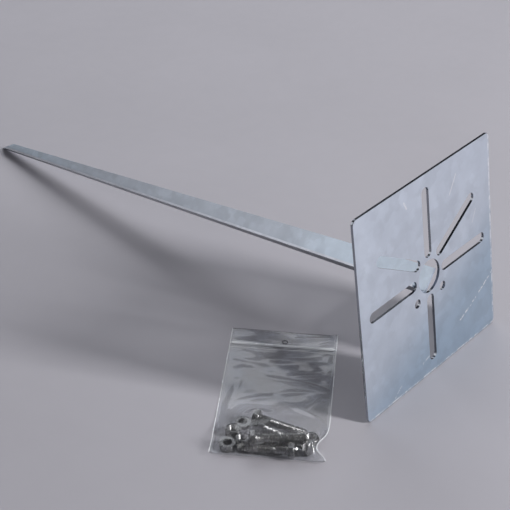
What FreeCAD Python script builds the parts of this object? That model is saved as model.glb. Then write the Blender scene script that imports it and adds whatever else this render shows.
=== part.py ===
"""Ground spike bracket with its fixing kit: a parametric FreeCAD 1.1 model in millimetres.

A square sheet-steel plate with radial slots is welded to the root of a folded, tapering
V-section spike. The bolts, nuts and washers that fasten a fitting to the plate come with it
in a flat zip bag. The whole lies on the floor as it is laid down: the plate stands on its
lower back edge and leans until the spike's point touches the floor, and the bag lies beside.

Row frame: +X to the right of somebody who faces the plate, +Y away from them along the
spike, +Z up from the floor, with the origin at the middle of the footprint.
Bracket frame: origin at the plate's centre on its back face, +Y along the spike, +Z towards
the plate's upper edge. Bag frame: origin at the middle of the bag's bottom edge on the
floor, +X across the bag and +Y towards its open end.
"""
import FreeCAD, Part
import math
import os

from FreeCAD import Placement, Rotation, Vector

SIZES = {
    # mounting plate
    "plate_side": 160.0,
    "plate_thickness": 2.0,
    "plate_corner_radius": 4.0,
    "plate_edge_break": 0.3,
    "cable_hole_diameter": 25.5,
    "slot_width": 8.4,
    "slot_inner_end": 15.1,
    "slot_outer_end": 69.9,
    "diagonal_slot_angle": 30.0,
    "diagonal_slot_shift": 5.6,
    "small_hole_diameter": 6.8,
    "small_hole_circle": 43.4,
    "small_hole_angle": -45.0,
    # spike
    "spike_length": 472.0,
    "spike_thickness": 2.0,
    "spike_root_flange": 21.0,
    "spike_tip_flange": 7.0,
    "spike_bend_radius": 1.0,
    "spike_root_offset": 4.0,
    "spike_point_length": 12.0,
    # weld
    "weld_leg": 2.4,
    "weld_end_gap": 1.0,
    # fasteners
    "bolt_diameter": 6.0,
    "bolt_length": 35.0,
    "bolt_end_chamfer": 0.7,
    "head_across_flats": 10.0,
    "head_height": 4.0,
    "nut_height": 5.0,
    "nut_bore": 5.2,
    "crown_chamfer_angle": 30.0,
    "washer_diameter": 11.0,
    "washer_bore": 6.4,
    "washer_thickness": 1.6,
    # bag
    "bag_width": 80.0,
    "bag_length": 142.5,
    "film_thickness": 0.3,
    "side_seal_width": 2.0,
    "bag_headroom": 0.9,
    "bag_flat_height": 1.5,
    "bag_fold_lift": 3.2,
    "bag_fold_depth": 3.4,
    "bag_fold_slope": 3.0,
    "drape_reach": 6.4,
    "drape_fall": 7.0,
    "drape_step": 4.5,
    "pocket_length": 66.0,
    "zip_below_mouth": 17.5,
    "zip_strip_width": 3.0,
    "zip_lip_thickness": 0.3,
    "zip_rib_width": 1.0,
    "hang_hole_diameter": 4.0,
    "hang_hole_below_edge": 12.0,
    "touching_gap": 0.05,
    # where the bag lies beside the bracket
    "bag_left_of_plate": 155.7,
    "bag_behind_plate": 27.2,
    "bag_turn": -55.0,
}

ROOT_TWO = math.sqrt(2.0)
X_AXIS = Vector(1, 0, 0)
Y_AXIS = Vector(0, 1, 0)
Z_AXIS = Vector(0, 0, 1)


# ---------------------------------------------------------------- document and sheet

def make_sheet(doc):
    """Puts every driving dimension into a spreadsheet cell with an alias."""
    sheet = doc.addObject("Spreadsheet::Sheet", "Sizes")
    for row, (name, value) in enumerate(SIZES.items(), start=1):
        sheet.set(f"A{row}", name.replace("_", " "))
        sheet.set(f"B{row}", repr(value))
        sheet.setAlias(f"B{row}", name)
    doc.recompute()
    return sheet


def new_body(doc, label):
    """An empty PartDesign body that carries the sub-part's name."""
    body = doc.addObject("PartDesign::Body", label)
    body.Label = label
    return body


def origin_plane(body, role):
    """One of the body's own origin planes, found by its role."""
    for feature in body.Origin.OriginFeatures:
        if feature.Role == role:
            return feature
    raise LookupError(role)


def new_sketch(body, name, role="XY_Plane"):
    """A sketch laid on one of the body's origin planes."""
    sketch = body.newObject("Sketcher::SketchObject", name)
    sketch.AttachmentSupport = [(origin_plane(body, role), "")]
    sketch.MapMode = "FlatFace"
    return sketch


def bind(target, name, expression):
    """Ties a property or a named constraint to the sheet."""
    target.setExpression(name, expression)


def size_constraint(sketch, name, rule, expression):
    """Adds a dimension to a sketch, names it and ties it to the sheet."""
    index = sketch.addConstraint(rule)
    sketch.renameConstraint(index, name)
    bind(sketch, f"Constraints.{name}", expression)


def check_cut(doc, body, feature, before):
    """A pocket or groove that points away from the solid would leave its volume alone."""
    doc.recompute()
    if not feature.Shape.Volume < before - 1e-6:
        raise RuntimeError(f"{feature.Name} of {body.Label} removes nothing")


def through_pocket(doc, body, sketch, name):
    """Cuts a sketch right through the body, both ways from its plane."""
    before = body.Tip.Shape.Volume
    pocket = body.newObject("PartDesign::Pocket", name)
    pocket.Profile = sketch
    pocket.Type = "ThroughAll"
    pocket.Midplane = True
    body.Tip = pocket
    check_cut(doc, body, pocket, before)
    return pocket


def pad(doc, body, sketch, name, length, reverse=False):
    """Pads a sketch to a length taken from the sheet."""
    feature = body.newObject("PartDesign::Pad", name)
    feature.Profile = sketch
    bind(feature, "Length", length)
    feature.Reversed = reverse
    body.Tip = feature
    doc.recompute()
    return feature


# ---------------------------------------------------------------- sketch outlines

def add_line(sketch, start, end):
    """A straight line in a sketch; returns its number."""
    return sketch.addGeometry(Part.LineSegment(start, end))


def add_arc(sketch, centre, radius, start_angle, end_angle):
    """Part of a circle in a sketch; returns its number."""
    return sketch.addGeometry(Part.ArcOfCircle(Part.Circle(centre, Z_AXIS, radius), start_angle, end_angle))


def add_polygon(sketch, corners):
    """A closed outline of straight lines in a sketch; returns their numbers."""
    lines = [add_line(sketch, start, end) for start, end in zip(corners, corners[1:] + corners[:1])]
    for line, following in zip(lines, lines[1:] + lines[:1]):
        sketch.addConstraint(constraint("Coincident", line, 2, following, 1))
    return lines


def draw_centred_square(sketch, side):
    """A square about the sketch's origin, side taken from an expression."""
    reach = 10.0
    corners = [Vector(-reach, -reach), Vector(reach, -reach), Vector(reach, reach), Vector(-reach, reach)]
    add_polygon(sketch, corners)
    for index in (0, 2):
        sketch.addConstraint(constraint("Horizontal", index))
    for index in (1, 3):
        sketch.addConstraint(constraint("Vertical", index))
    sketch.addConstraint(constraint("Symmetric", 0, 1, 2, 1, -1, 1))
    size_constraint(sketch, "width", constraint("DistanceX", 0, 1, 0, 2, 2 * reach), side)
    size_constraint(sketch, "height", constraint("DistanceY", 1, 1, 1, 2, 2 * reach), side)


def constraint(*arguments):
    """A sketch constraint; the module is imported here because it needs Part loaded first."""
    import Sketcher
    return Sketcher.Constraint(*arguments)


def draw_circle(sketch, diameter, across=None, up=None):
    """A circle whose diameter comes from an expression, on the origin or at two expressions."""
    start = Vector(7.0, -7.0) if across else Vector(0, 0)
    circle = sketch.addGeometry(Part.Circle(start, Z_AXIS, 3.0))
    if across:
        size_constraint(sketch, "across", constraint("DistanceX", -1, 1, circle, 3, 7.0), across)
        size_constraint(sketch, "up", constraint("DistanceY", -1, 1, circle, 3, -7.0), up)
    else:
        sketch.addConstraint(constraint("Coincident", circle, 3, -1, 1))
    size_constraint(sketch, "diameter", constraint("Diameter", circle, 6.0), diameter)


def draw_radial_slot(sketch):
    """A round-ended slot along the sketch's x axis, from its inner end to its outer end."""
    near, far, radius = 20.0, 60.0, 4.0
    quarter = math.pi / 2
    near_arc = add_arc(sketch, Vector(near, 0), radius, quarter, 3 * quarter)
    far_arc = add_arc(sketch, Vector(far, 0), radius, -quarter, quarter)
    lower = add_line(sketch, Vector(near, -radius), Vector(far, -radius))
    upper = add_line(sketch, Vector(near, radius), Vector(far, radius))
    sketch.addConstraint(constraint("Tangent", near_arc, 2, lower, 1))
    sketch.addConstraint(constraint("Tangent", lower, 2, far_arc, 1))
    sketch.addConstraint(constraint("Tangent", far_arc, 2, upper, 2))
    sketch.addConstraint(constraint("Tangent", upper, 1, near_arc, 1))
    sketch.addConstraint(constraint("Equal", near_arc, far_arc))
    sketch.addConstraint(constraint("PointOnObject", near_arc, 3, -1))
    sketch.addConstraint(constraint("PointOnObject", far_arc, 3, -1))
    size_constraint(sketch, "radius", constraint("Radius", near_arc, radius), "Sizes.slot_width / 2")
    size_constraint(sketch, "near", constraint("DistanceX", -1, 1, near_arc, 3, near),
                    "Sizes.slot_inner_end + Sizes.slot_width / 2")
    size_constraint(sketch, "far", constraint("DistanceX", -1, 1, far_arc, 3, far),
                    "Sizes.slot_outer_end - Sizes.slot_width / 2")


def draw_folded_section(sketch, flange, offset=None):
    """The spike's section: two flanges at right angles, joined by a rounded bend at the bottom.

    The flanges' outer top corners lie on the sketch's x axis. The section is centred on the
    y axis, or to the left of it by an offset.
    """
    reach, wall, inner = 15.0, 2.0, 1.0
    outer = inner + wall
    middle = Vector(-4.0 if offset else 0.0, outer * ROOT_TWO - reach)
    right, left = Vector(1, 1) / ROOT_TWO, Vector(-1, 1) / ROOT_TWO
    run = reach * ROOT_TWO - outer
    outside_left = add_line(sketch, middle - right * outer + left * run, middle - right * outer)
    outside_bend = add_arc(sketch, middle, outer, 5 * math.pi / 4, 7 * math.pi / 4)
    outside_right = add_line(sketch, middle - left * outer, middle - left * outer + right * run)
    edge_right = add_line(sketch, middle - left * outer + right * run, middle - left * inner + right * run)
    inside_right = add_line(sketch, middle - left * inner + right * run, middle - left * inner)
    inside_bend = add_arc(sketch, middle, inner, 5 * math.pi / 4, 7 * math.pi / 4)
    inside_left = add_line(sketch, middle - right * inner, middle - right * inner + left * run)
    edge_left = add_line(sketch, middle - right * inner + left * run, middle - right * outer + left * run)
    for first, second in ((outside_right, edge_right), (edge_right, inside_right),
                          (inside_left, edge_left), (edge_left, outside_left)):
        sketch.addConstraint(constraint("Coincident", first, 2, second, 1))
    sketch.addConstraint(constraint("Coincident", outside_bend, 3, inside_bend, 3))
    for first, first_end, second, second_end in (
            (outside_left, 2, outside_bend, 1), (outside_bend, 2, outside_right, 1),
            (inside_right, 2, inside_bend, 2), (inside_bend, 1, inside_left, 1)):
        sketch.addConstraint(constraint("Tangent", first, first_end, second, second_end))
    sketch.addConstraint(constraint("Angle", outside_right, math.pi / 4))
    for first, second in ((outside_left, outside_right), (outside_right, edge_right), (outside_left, edge_left)):
        sketch.addConstraint(constraint("Perpendicular", first, second))
    for first, second in ((outside_right, inside_right), (outside_left, inside_left)):
        sketch.addConstraint(constraint("Parallel", first, second))
    sketch.addConstraint(constraint("Equal", outside_left, outside_right))
    sketch.addConstraint(constraint("PointOnObject", outside_right, 2, -1))
    size_constraint(sketch, "bend", constraint("Radius", inside_bend, inner), "Sizes.spike_bend_radius")
    size_constraint(sketch, "wall", constraint("Distance", edge_right, wall), "Sizes.spike_thickness")
    size_constraint(sketch, "flange", constraint("Distance", outside_right, run),
                    f"{flange} - Sizes.spike_bend_radius - Sizes.spike_thickness")
    if offset:
        size_constraint(sketch, "offset", constraint("DistanceX", outside_bend, 3, -1, 1, 4.0), offset)
    else:
        sketch.addConstraint(constraint("PointOnObject", outside_bend, 3, -2))


# ---------------------------------------------------------------- mounting plate

def edges_along(shape, direction, keep):
    """Names of the straight edges that run along a direction and that keep() accepts."""
    names = []
    for index, edge in enumerate(shape.Edges, start=1):
        if edge.Curve.TypeId != "Part::GeomLine":
            continue
        if abs(edge.tangentAt(edge.FirstParameter).dot(direction)) < 0.999:
            continue
        if keep(edge):
            names.append(f"Edge{index}")
    return names


def rim_edges(shape, half_side, corner_radius):
    """Names of the edges round the plate's outline on its two faces."""
    names = []
    inner = half_side - corner_radius
    for index, edge in enumerate(shape.Edges, start=1):
        middle = edge.CenterOfMass
        runs_in_face = edge.BoundBox.YLength < 1e-6
        at_rim = max(abs(middle.x), abs(middle.z)) > half_side - 1e-6
        at_corner = min(abs(middle.x), abs(middle.z)) > inner
        if runs_in_face and (at_rim or at_corner):
            names.append(f"Edge{index}")
    return names


def make_plate(doc, size):
    """Square plate: cable hole, four crossed slots, two diagonal slots and two small holes."""
    body = new_body(doc, "mounting_plate")
    outline = new_sketch(body, "PlateOutline", "XZ_Plane")
    draw_centred_square(outline, "Sizes.plate_side")
    sheet_metal = pad(doc, body, outline, "PlateSheet", "Sizes.plate_thickness")

    corners = body.newObject("PartDesign::Fillet", "PlateCorners")
    corners.Base = (sheet_metal, edges_along(sheet_metal.Shape, Y_AXIS, lambda edge: True))
    bind(corners, "Radius", "Sizes.plate_corner_radius")
    body.Tip = corners
    doc.recompute()

    rim = body.newObject("PartDesign::Chamfer", "PlateEdgeBreak")
    rim.Base = (corners, rim_edges(corners.Shape, size.plate_side / 2, size.plate_corner_radius))
    bind(rim, "Size", "Sizes.plate_edge_break")
    body.Tip = rim
    doc.recompute()

    cable_hole = new_sketch(body, "CableHoleOutline", "XZ_Plane")
    draw_circle(cable_hole, "Sizes.cable_hole_diameter")
    through_pocket(doc, body, cable_hole, "CableHole")

    make_slots(doc, body)
    make_small_holes(doc, body)
    return body


def make_slots(doc, body):
    """Slots every 90 degrees, and a mirrored pair that makes a 120 degree set with the lowest.

    The pair is set off upwards, square to its slots, so its axes meet above the plate's middle.
    """
    crossed = new_sketch(body, "CrossedSlotOutline", "XZ_Plane")
    draw_radial_slot(crossed)
    first = through_pocket(doc, body, crossed, "CrossedSlot")
    pattern = body.newObject("PartDesign::PolarPattern", "CrossedSlots")
    pattern.Originals = [first]
    pattern.Axis = (crossed, ["N_Axis"])
    pattern.Angle = 360
    pattern.Occurrences = 4
    body.Tip = pattern
    check_cut(doc, body, pattern, first.Shape.Volume)

    diagonal = new_sketch(body, "DiagonalSlotOutline", "XZ_Plane")
    diagonal.AttachmentOffset = Placement(Vector(), Rotation(Z_AXIS, 1))
    bind(diagonal, "AttachmentOffset.Rotation.Angle", "Sizes.diagonal_slot_angle * 1 deg")
    bind(diagonal, "AttachmentOffset.Base.x",
         "-Sizes.diagonal_slot_shift * sin(Sizes.diagonal_slot_angle * 1 deg)")
    bind(diagonal, "AttachmentOffset.Base.y",
         "Sizes.diagonal_slot_shift * cos(Sizes.diagonal_slot_angle * 1 deg)")
    draw_radial_slot(diagonal)
    second = through_pocket(doc, body, diagonal, "DiagonalSlot")
    mirror = body.newObject("PartDesign::Mirrored", "DiagonalSlots")
    mirror.Originals = [second]
    mirror.MirrorPlane = (origin_plane(body, "YZ_Plane"), [""])
    body.Tip = mirror
    check_cut(doc, body, mirror, second.Shape.Volume)


def make_small_holes(doc, body):
    """Two small round holes on one circle, below the cable hole at either side."""
    outline = new_sketch(body, "SmallHoleOutline", "XZ_Plane")
    draw_circle(outline, "Sizes.small_hole_diameter",
                across="Sizes.small_hole_circle / 2 * cos(Sizes.small_hole_angle * 1 deg)",
                up="Sizes.small_hole_circle / 2 * sin(Sizes.small_hole_angle * 1 deg)")
    hole = through_pocket(doc, body, outline, "SmallHole")
    mirror = body.newObject("PartDesign::Mirrored", "SmallHoles")
    mirror.Originals = [hole]
    mirror.MirrorPlane = (origin_plane(body, "YZ_Plane"), [""])
    body.Tip = mirror
    check_cut(doc, body, mirror, hole.Shape.Volume)


# ---------------------------------------------------------------- spike and weld

def make_spike(doc):
    """Tapering folded sheet from the plate's back face, cut off on the slant to a point."""
    body = new_body(doc, "spike")
    root = new_sketch(body, "RootSection", "XZ_Plane")
    draw_folded_section(root, "Sizes.spike_root_flange", "Sizes.spike_root_offset")
    doc.recompute()
    tip = new_sketch(body, "TipSection", "XZ_Plane")
    tip.AttachmentOffset = Placement(Vector(0, 0, -1), Rotation())
    bind(tip, "AttachmentOffset.Base.z", "-Sizes.spike_length")
    draw_folded_section(tip, "Sizes.spike_tip_flange")
    doc.recompute()
    blade = body.newObject("PartDesign::AdditiveLoft", "Blade")
    blade.Profile = root
    blade.Sections = [tip]
    blade.Ruled = True
    body.Tip = blade
    doc.recompute()
    slant = new_sketch(body, "PointSlant", "YZ_Plane")
    draw_point_slant(slant)
    through_pocket(doc, body, slant, "Point")
    return body


def draw_point_slant(sketch):
    """The triangle taken off the flanges' end, from their top edges down to the bend."""
    top, end = 2.0, 472.0
    add_polygon(sketch, [Vector(end - 12, top), Vector(end, -4), Vector(end, top)])
    sketch.addConstraint(constraint("Vertical", 1))
    sketch.addConstraint(constraint("Horizontal", 2))
    size_constraint(sketch, "end", constraint("DistanceX", -1, 1, 0, 2, end), "Sizes.spike_length")
    size_constraint(sketch, "slant", constraint("DistanceX", 0, 1, 0, 2, 12.0), "Sizes.spike_point_length")
    size_constraint(sketch, "top", constraint("DistanceY", -1, 1, 0, 1, top),
                    "Sizes.spike_thickness / sqrt(2)")
    size_constraint(sketch, "foot", constraint("DistanceY", 0, 2, -1, 1, 4.0),
                    "Sizes.spike_tip_flange / sqrt(2) - "
                    "(sqrt(2) - 1) * (Sizes.spike_bend_radius + Sizes.spike_thickness)")


def make_weld(doc, spike):
    """Fillet weld along the left flange's outside, cut to the flange's slope by the spike."""
    rod = new_body(doc, "weld_rod")
    section = new_sketch(rod, "WeldSection", "XY_Plane")
    draw_weld_section(section)
    pad(doc, rod, section, "WeldRun",
        "Sizes.spike_root_flange - Sizes.slot_width / sqrt(2) - "
        "Sizes.spike_bend_radius - Sizes.spike_thickness - 2 * Sizes.weld_end_gap")
    weld = doc.addObject("Part::Cut", "weld_bead")
    weld.Label = "weld_bead"
    weld.Base = rod
    weld.Tool = spike
    return rod, weld


def draw_weld_section(sketch):
    """Quarter-round bead; x runs out along the plate and y out along the flange."""
    leg, sink = 2.4, 0.5
    foot = add_line(sketch, Vector(-sink, 0), Vector(leg, 0))
    face = add_arc(sketch, Vector(-sink, -sink), leg + sink + 0.1, 0.2, 1.4)
    back = add_line(sketch, Vector(-sink, leg), Vector(-sink, 0))
    sketch.addConstraint(constraint("Horizontal", foot))
    sketch.addConstraint(constraint("Vertical", back))
    sketch.addConstraint(constraint("Coincident", foot, 2, face, 1))
    sketch.addConstraint(constraint("Coincident", face, 2, back, 1))
    sketch.addConstraint(constraint("Coincident", back, 2, foot, 1))
    sketch.addConstraint(constraint("PointOnObject", foot, 1, -1))
    size_constraint(sketch, "sink", constraint("DistanceX", foot, 1, -1, 1, sink), "Sizes.spike_thickness / 4")
    size_constraint(sketch, "leg", constraint("DistanceX", -1, 1, foot, 2, leg), "Sizes.weld_leg")
    size_constraint(sketch, "rise", constraint("Distance", back, leg), "Sizes.weld_leg")
    size_constraint(sketch, "round", constraint("Radius", face, leg + sink), "Sizes.weld_leg * 1.6")


# ---------------------------------------------------------------- fasteners

def draw_crown_cut(sketch, height, hexagon_corner, flat_circle):
    """Triangle that a groove takes off a hexagon's corners, at the crown end."""
    x_corner, x_flat, y_top = 5.8, 4.8, 4.0
    add_polygon(sketch, [Vector(x_flat, y_top), Vector(x_corner, y_top - 0.6), Vector(x_corner, y_top)])
    sketch.addConstraint(constraint("Vertical", 1))
    sketch.addConstraint(constraint("Horizontal", 2))
    size_constraint(sketch, "corner", constraint("DistanceX", -1, 1, 0, 2, x_corner), hexagon_corner)
    size_constraint(sketch, "flat", constraint("DistanceX", -1, 1, 0, 1, x_flat), flat_circle)
    size_constraint(sketch, "top", constraint("DistanceY", -1, 1, 0, 1, y_top), height)
    size_constraint(sketch, "drop", constraint("DistanceY", 0, 2, 0, 1, 0.6),
                    f"({hexagon_corner} - {flat_circle}) * tan(Sizes.crown_chamfer_angle * 1 deg)")


def crown(doc, body, height, name):
    """Turns the hexagon's corners off to a cone at the crown end."""
    outline = new_sketch(body, name + "Outline", "XZ_Plane")
    beyond_corner, flat_circle = "Sizes.head_across_flats * 0.6", "Sizes.head_across_flats * 0.475"
    draw_crown_cut(outline, height, beyond_corner, flat_circle)
    before = body.Tip.Shape.Volume
    groove = body.newObject("PartDesign::Groove", name)
    groove.Profile = outline
    groove.ReferenceAxis = (outline, ["V_Axis"])
    groove.Angle = 360
    body.Tip = groove
    check_cut(doc, body, groove, before)


def hexagon(doc, body, height):
    """Hexagonal prism from z = 0 up, with two of its flats facing along y."""
    prism = body.newObject("PartDesign::AdditivePrism", "Hexagon")
    prism.Polygon = 6
    bind(prism, "Circumradius", "Sizes.head_across_flats / sqrt(3)")
    bind(prism, "Height", height)
    body.Tip = prism
    doc.recompute()


def make_bolt(doc, number):
    """Hexagon bolt: head from z = 0 up to its crown, shank from z = 0 down."""
    body = new_body(doc, f"hex_bolt_{number}")
    hexagon(doc, body, "Sizes.head_height")
    crown(doc, body, "Sizes.head_height", "HeadCrown")
    outline = new_sketch(body, "ShankOutline")
    draw_circle(outline, "Sizes.bolt_diameter")
    shank = pad(doc, body, outline, "Shank", "Sizes.bolt_length", reverse=True)
    chamfer = body.newObject("PartDesign::Chamfer", "ShankEnd")
    lowest = min(range(len(shank.Shape.Edges)), key=lambda index: shank.Shape.Edges[index].CenterOfMass.z)
    chamfer.Base = (shank, [f"Edge{lowest + 1}"])
    bind(chamfer, "Size", "Sizes.bolt_end_chamfer")
    body.Tip = chamfer
    doc.recompute()
    return body


def make_nut(doc, number):
    """Hexagon nut standing on z = 0, with its crown on top."""
    body = new_body(doc, f"hex_nut_{number}")
    hexagon(doc, body, "Sizes.nut_height")
    crown(doc, body, "Sizes.nut_height", "NutCrown")
    outline = new_sketch(body, "BoreOutline")
    draw_circle(outline, "Sizes.nut_bore")
    through_pocket(doc, body, outline, "Bore")
    return body


def make_washer(doc, number):
    """Flat washer standing on z = 0."""
    body = new_body(doc, f"flat_washer_{number}")
    outline = new_sketch(body, "WasherOutline")
    draw_circle(outline, "Sizes.washer_diameter")
    pad(doc, body, outline, "Disc", "Sizes.washer_thickness")
    bore = new_sketch(body, "WasherBoreOutline")
    draw_circle(bore, "Sizes.washer_bore")
    through_pocket(doc, body, bore, "WasherBore")
    return body


# ---------------------------------------------------------------- bag

def flat_face(points):
    """Flat face inside the closed polygon through the points."""
    return Part.Face(Part.makePolygon([*points, points[0]]))


class Hump:
    """A round spot of the kit that holds the film up: its place, its radius and its top."""

    def __init__(self, place, radius, top):
        self.x, self.y = place.x, place.y
        self.radius = radius
        self.top = top

    def distance(self, x, y):
        """Level distance from the spot's rim, and 0 over the spot."""
        return max(0.0, math.hypot(x - self.x, y - self.y) - self.radius)


class BagShape:
    """The film's form: draped over the kit, flat towards its mouth, with its bottom fold off the floor."""

    def __init__(self, size, humps):
        self.size = size
        self.humps = humps

    def top(self, x, y):
        """Height of the upper film: each spot lifts it, beyond a reach it falls away, and it stays off the lower one."""
        size = self.size
        lift = 0.0
        for hump in self.humps:
            beyond = max(0.0, hump.distance(x, y) - size.drape_reach)
            raised = hump.top + size.bag_headroom - size.bag_flat_height
            lift = max(lift, raised * math.exp(-beyond / size.drape_fall))
        fade = min(1.0, max(0.0, (size.pocket_length - y) / (size.pocket_length / 4)))
        draped = min(size.bag_flat_height + lift * fade, self.nose(y))
        return max(draped, self.foot(y) + 2 * size.film_thickness)

    def nose(self, y):
        """The most that the film rises behind its bottom fold."""
        return 2 * self.size.bag_fold_lift + self.size.bag_fold_slope * y

    def foot(self, y):
        """Height of the lower film's underside: lifted at the fold and flat on the floor behind it."""
        return self.size.bag_fold_lift * max(0.0, 1 - y / self.size.bag_fold_depth)

    def rows(self):
        """Places along the bag where its section is set: close over the kit, far apart where it is flat."""
        step, pocket = self.size.drape_step, self.size.pocket_length
        count = int((pocket - self.size.bag_fold_depth) / step)
        close = [self.size.bag_fold_depth + step * number for number in range(count + 1)]
        return [self.size.bag_fold_depth / 3, close[0], close[0] + step / 2, *close[1:], pocket]

    def columns(self):
        """Places across the bag where the film's height is set."""
        half = self.size.bag_width / 2
        count = 2 * round(half / self.size.drape_step)
        return [half - 2 * half * number / count for number in range(count + 1)]

    def envelope(self):
        """Closed solid of the bag's outside: triangles over the kit, and flat sides, ends and underside."""
        columns, length = self.columns(), self.size.bag_length
        rows = [0.0, *self.rows(), length]
        grid = [[Vector(x, y, self.top(x, y)) for x in columns] for y in rows]
        feet = [[Vector(x, y, self.foot(y)) for x in (columns[0], columns[-1])] for y in rows]
        faces = [flat_face([*grid[0], *reversed(feet[0])]), flat_face([*grid[-1], *reversed(feet[-1])])]
        for near, far, near_feet, far_feet in zip(grid, grid[1:], feet, feet[1:]):
            for left, right, far_right, far_left in zip(near, near[1:], far[1:], far):
                faces += [flat_face([left, right, far_right]), flat_face([left, far_right, far_left])]
            faces.append(flat_face([*near_feet, *reversed(far_feet)]))
            faces.append(flat_face([near[0], far[0], far_feet[0], near_feet[0]]))
            faces.append(flat_face([near[-1], far[-1], far_feet[1], near_feet[1]]))
        return Part.makeSolid(Part.makeShell(faces))

    def room(self, wall, seal):
        """Solid of the room in the bag, which the film's wall and the side seals leave, open at the mouth."""
        left, far, high = seal - self.size.bag_width / 2, self.size.bag_length + wall, 100.0
        profile = [(wall, high), (wall, self.foot(wall) + wall), (self.size.bag_fold_depth, wall),
                   (far, wall), (far, high)]
        across = Vector(self.size.bag_width - 2 * seal, 0, 0)
        between_seals = flat_face([Vector(left, y, z) for y, z in profile]).extrude(across)
        return between_seals


def make_bag(doc, size, humps):
    """Film envelope, open at the header's end, and the two halves of its zip."""
    shape = BagShape(size, humps)
    film = size.film_thickness
    outside = shape.envelope()
    under_film = outside.translated(Vector(0, 0, -film)).common(shape.room(film, size.side_seal_width))
    hang_hole = Part.makeCylinder(size.hang_hole_diameter / 2, size.bag_flat_height + 2 * film,
                                  Vector(0, size.bag_length - size.hang_hole_below_edge, -film))
    bag = doc.addObject("Part::Feature", "bag_film")
    bag.Label = "bag_film"
    bag.Shape = outside.cut(under_film).cut(hang_hole)
    rib, channel = make_zip(doc, size)
    return bag, rib, channel


def make_zip(doc, size):
    """Two strips pressed together: a rib on the lower film and a channel on the upper film."""
    film, lip, width, gap = size.film_thickness, size.zip_lip_thickness, size.zip_strip_width, size.touching_gap
    length = size.bag_width - 2 * (size.side_seal_width + gap)
    middle = size.bag_length - size.zip_below_mouth
    low, split = film + gap, film + gap + lip
    high = size.bag_flat_height - film - gap
    strip = centred_box(length, width, middle, low, split)
    ridge = centred_box(length, size.zip_rib_width, middle, split, split + lip / 2)
    rib = doc.addObject("Part::Feature", "zip_rib")
    rib.Label = "zip_rib"
    rib.Shape = strip.fuse(ridge).removeSplitter()
    room = centred_box(length, size.zip_rib_width + 2 * gap, middle, split, split + lip / 2 + gap)
    channel = doc.addObject("Part::Feature", "zip_channel")
    channel.Label = "zip_channel"
    channel.Shape = centred_box(length, width, middle, split + gap, high).cut(room)
    return rib, channel


def centred_box(length, width, middle, low, high):
    """A box across the bag, centred on a place along it, from a low to a high level."""
    return Part.makeBox(length, width, high - low, Vector(-length / 2, middle - width / 2, low))


# ---------------------------------------------------------------- how the pieces lie

def bolt_placement(under_head, direction):
    """Puts a bolt's axis along a direction, with a flat of its head facing down."""
    along = Vector(direction).normalize()
    sideways = along.cross(Z_AXIS).normalize()
    upward = sideways.cross(along)
    return Placement(under_head, Rotation(sideways * -1, upward, along, "ZYX"))


class Pile:
    """The fixing kit's places in the bag's frame, worked out from the pieces' own sizes."""

    def __init__(self, size):
        self.size = size
        self.flat = size.head_across_flats / 2
        self.shank = size.bolt_diameter / 2
        self.tilt = math.atan((self.flat - self.shank) / size.bolt_length)
        self.floor = size.film_thickness

    def lying_direction(self, heading):
        """From the thread's end to the head, for a bolt that lies on the film."""
        turn = math.radians(heading)
        level = math.cos(self.tilt)
        return Vector(level * math.cos(turn), level * math.sin(turn), math.sin(self.tilt))

    def lying_bolt(self, x, y, heading):
        """A bolt on the film: its head rests on a flat and its thread's end on its rim."""
        under_head = Vector(x, y, self.floor + self.flat * math.cos(self.tilt))
        return under_head, self.lying_direction(heading)

    def bolt_across(self, head, end, front_bolt, rear_bolt):
        """A bolt whose head rests on one lying bolt and whose thread rests on another.

        Heights are taken where it passes over each of them.
        """
        gap = self.size.touching_gap
        head_height = self.axis_height(front_bolt, head) + self.shank + self.flat + gap
        crossing = self.crossing(head, end, rear_bolt)
        lift = 2 * self.shank / math.cos(2 * self.tilt) + gap
        crossing_height = self.axis_height(rear_bolt, crossing) + lift
        run = (crossing - head).Length
        slope = (head_height - crossing_height) / run
        level = (head - end).normalize()
        direction = Vector(level.x, level.y, slope).normalize()
        return Vector(head.x, head.y, head_height), direction

    def standing_nut(self, x, y, lean):
        """A nut on one corner, leaning back; x and y are where that corner touches the film."""
        turn = math.radians(lean)
        downward = Vector(0, -math.sin(turn), -math.cos(turn))
        facing = Vector(0, -math.cos(turn), math.sin(turn))
        corner = self.flat / math.cos(math.radians(30))
        centre = Vector(x, y, self.floor) - downward * corner
        return Placement(centre, Rotation(downward, facing.cross(downward), facing, "ZXY"))

    def bolt_humps(self, under_head, direction):
        """Spots along a bolt: one over its head and the rest down its shank, a diameter apart."""
        head = under_head + direction * (self.size.head_height / 2)
        spots = [Hump(head, self.flat, head.z + self.flat)]
        count = int(self.size.bolt_length / self.size.bolt_diameter)
        for number in range(1, count + 1):
            place = under_head - direction * (self.size.bolt_length * number / count)
            spots.append(Hump(place, self.shank, place.z + self.shank))
        return spots

    def nut_hump(self, placement):
        """The spot over a nut that stands or leans, as high as its highest corner."""
        corner = self.flat / math.cos(math.radians(30))
        middle = placement.multVec(Vector(0, 0, self.size.nut_height / 2))
        facing = placement.Rotation.multVec(Z_AXIS)
        level = math.hypot(facing.x, facing.y)
        return Hump(middle, self.flat, middle.z + corner * level + self.size.nut_height / 2 * abs(facing.z))

    def axis_height(self, bolt, point):
        """Height of a lying bolt's axis level with a point in plan."""
        under_head, direction = bolt
        level = Vector(direction.x, direction.y, 0)
        distance = (point - Vector(under_head.x, under_head.y, 0)).dot(level) / level.dot(level)
        return under_head.z + distance * direction.z

    def crossing(self, head, end, bolt):
        """Where the line from head to end passes over a bolt's axis, in plan."""
        under_head, direction = bolt
        along = end - head
        base = Vector(under_head.x, under_head.y, 0) - head
        share = (base.x * direction.y - base.y * direction.x) / (along.x * direction.y - along.y * direction.x)
        return head + along * share


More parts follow.
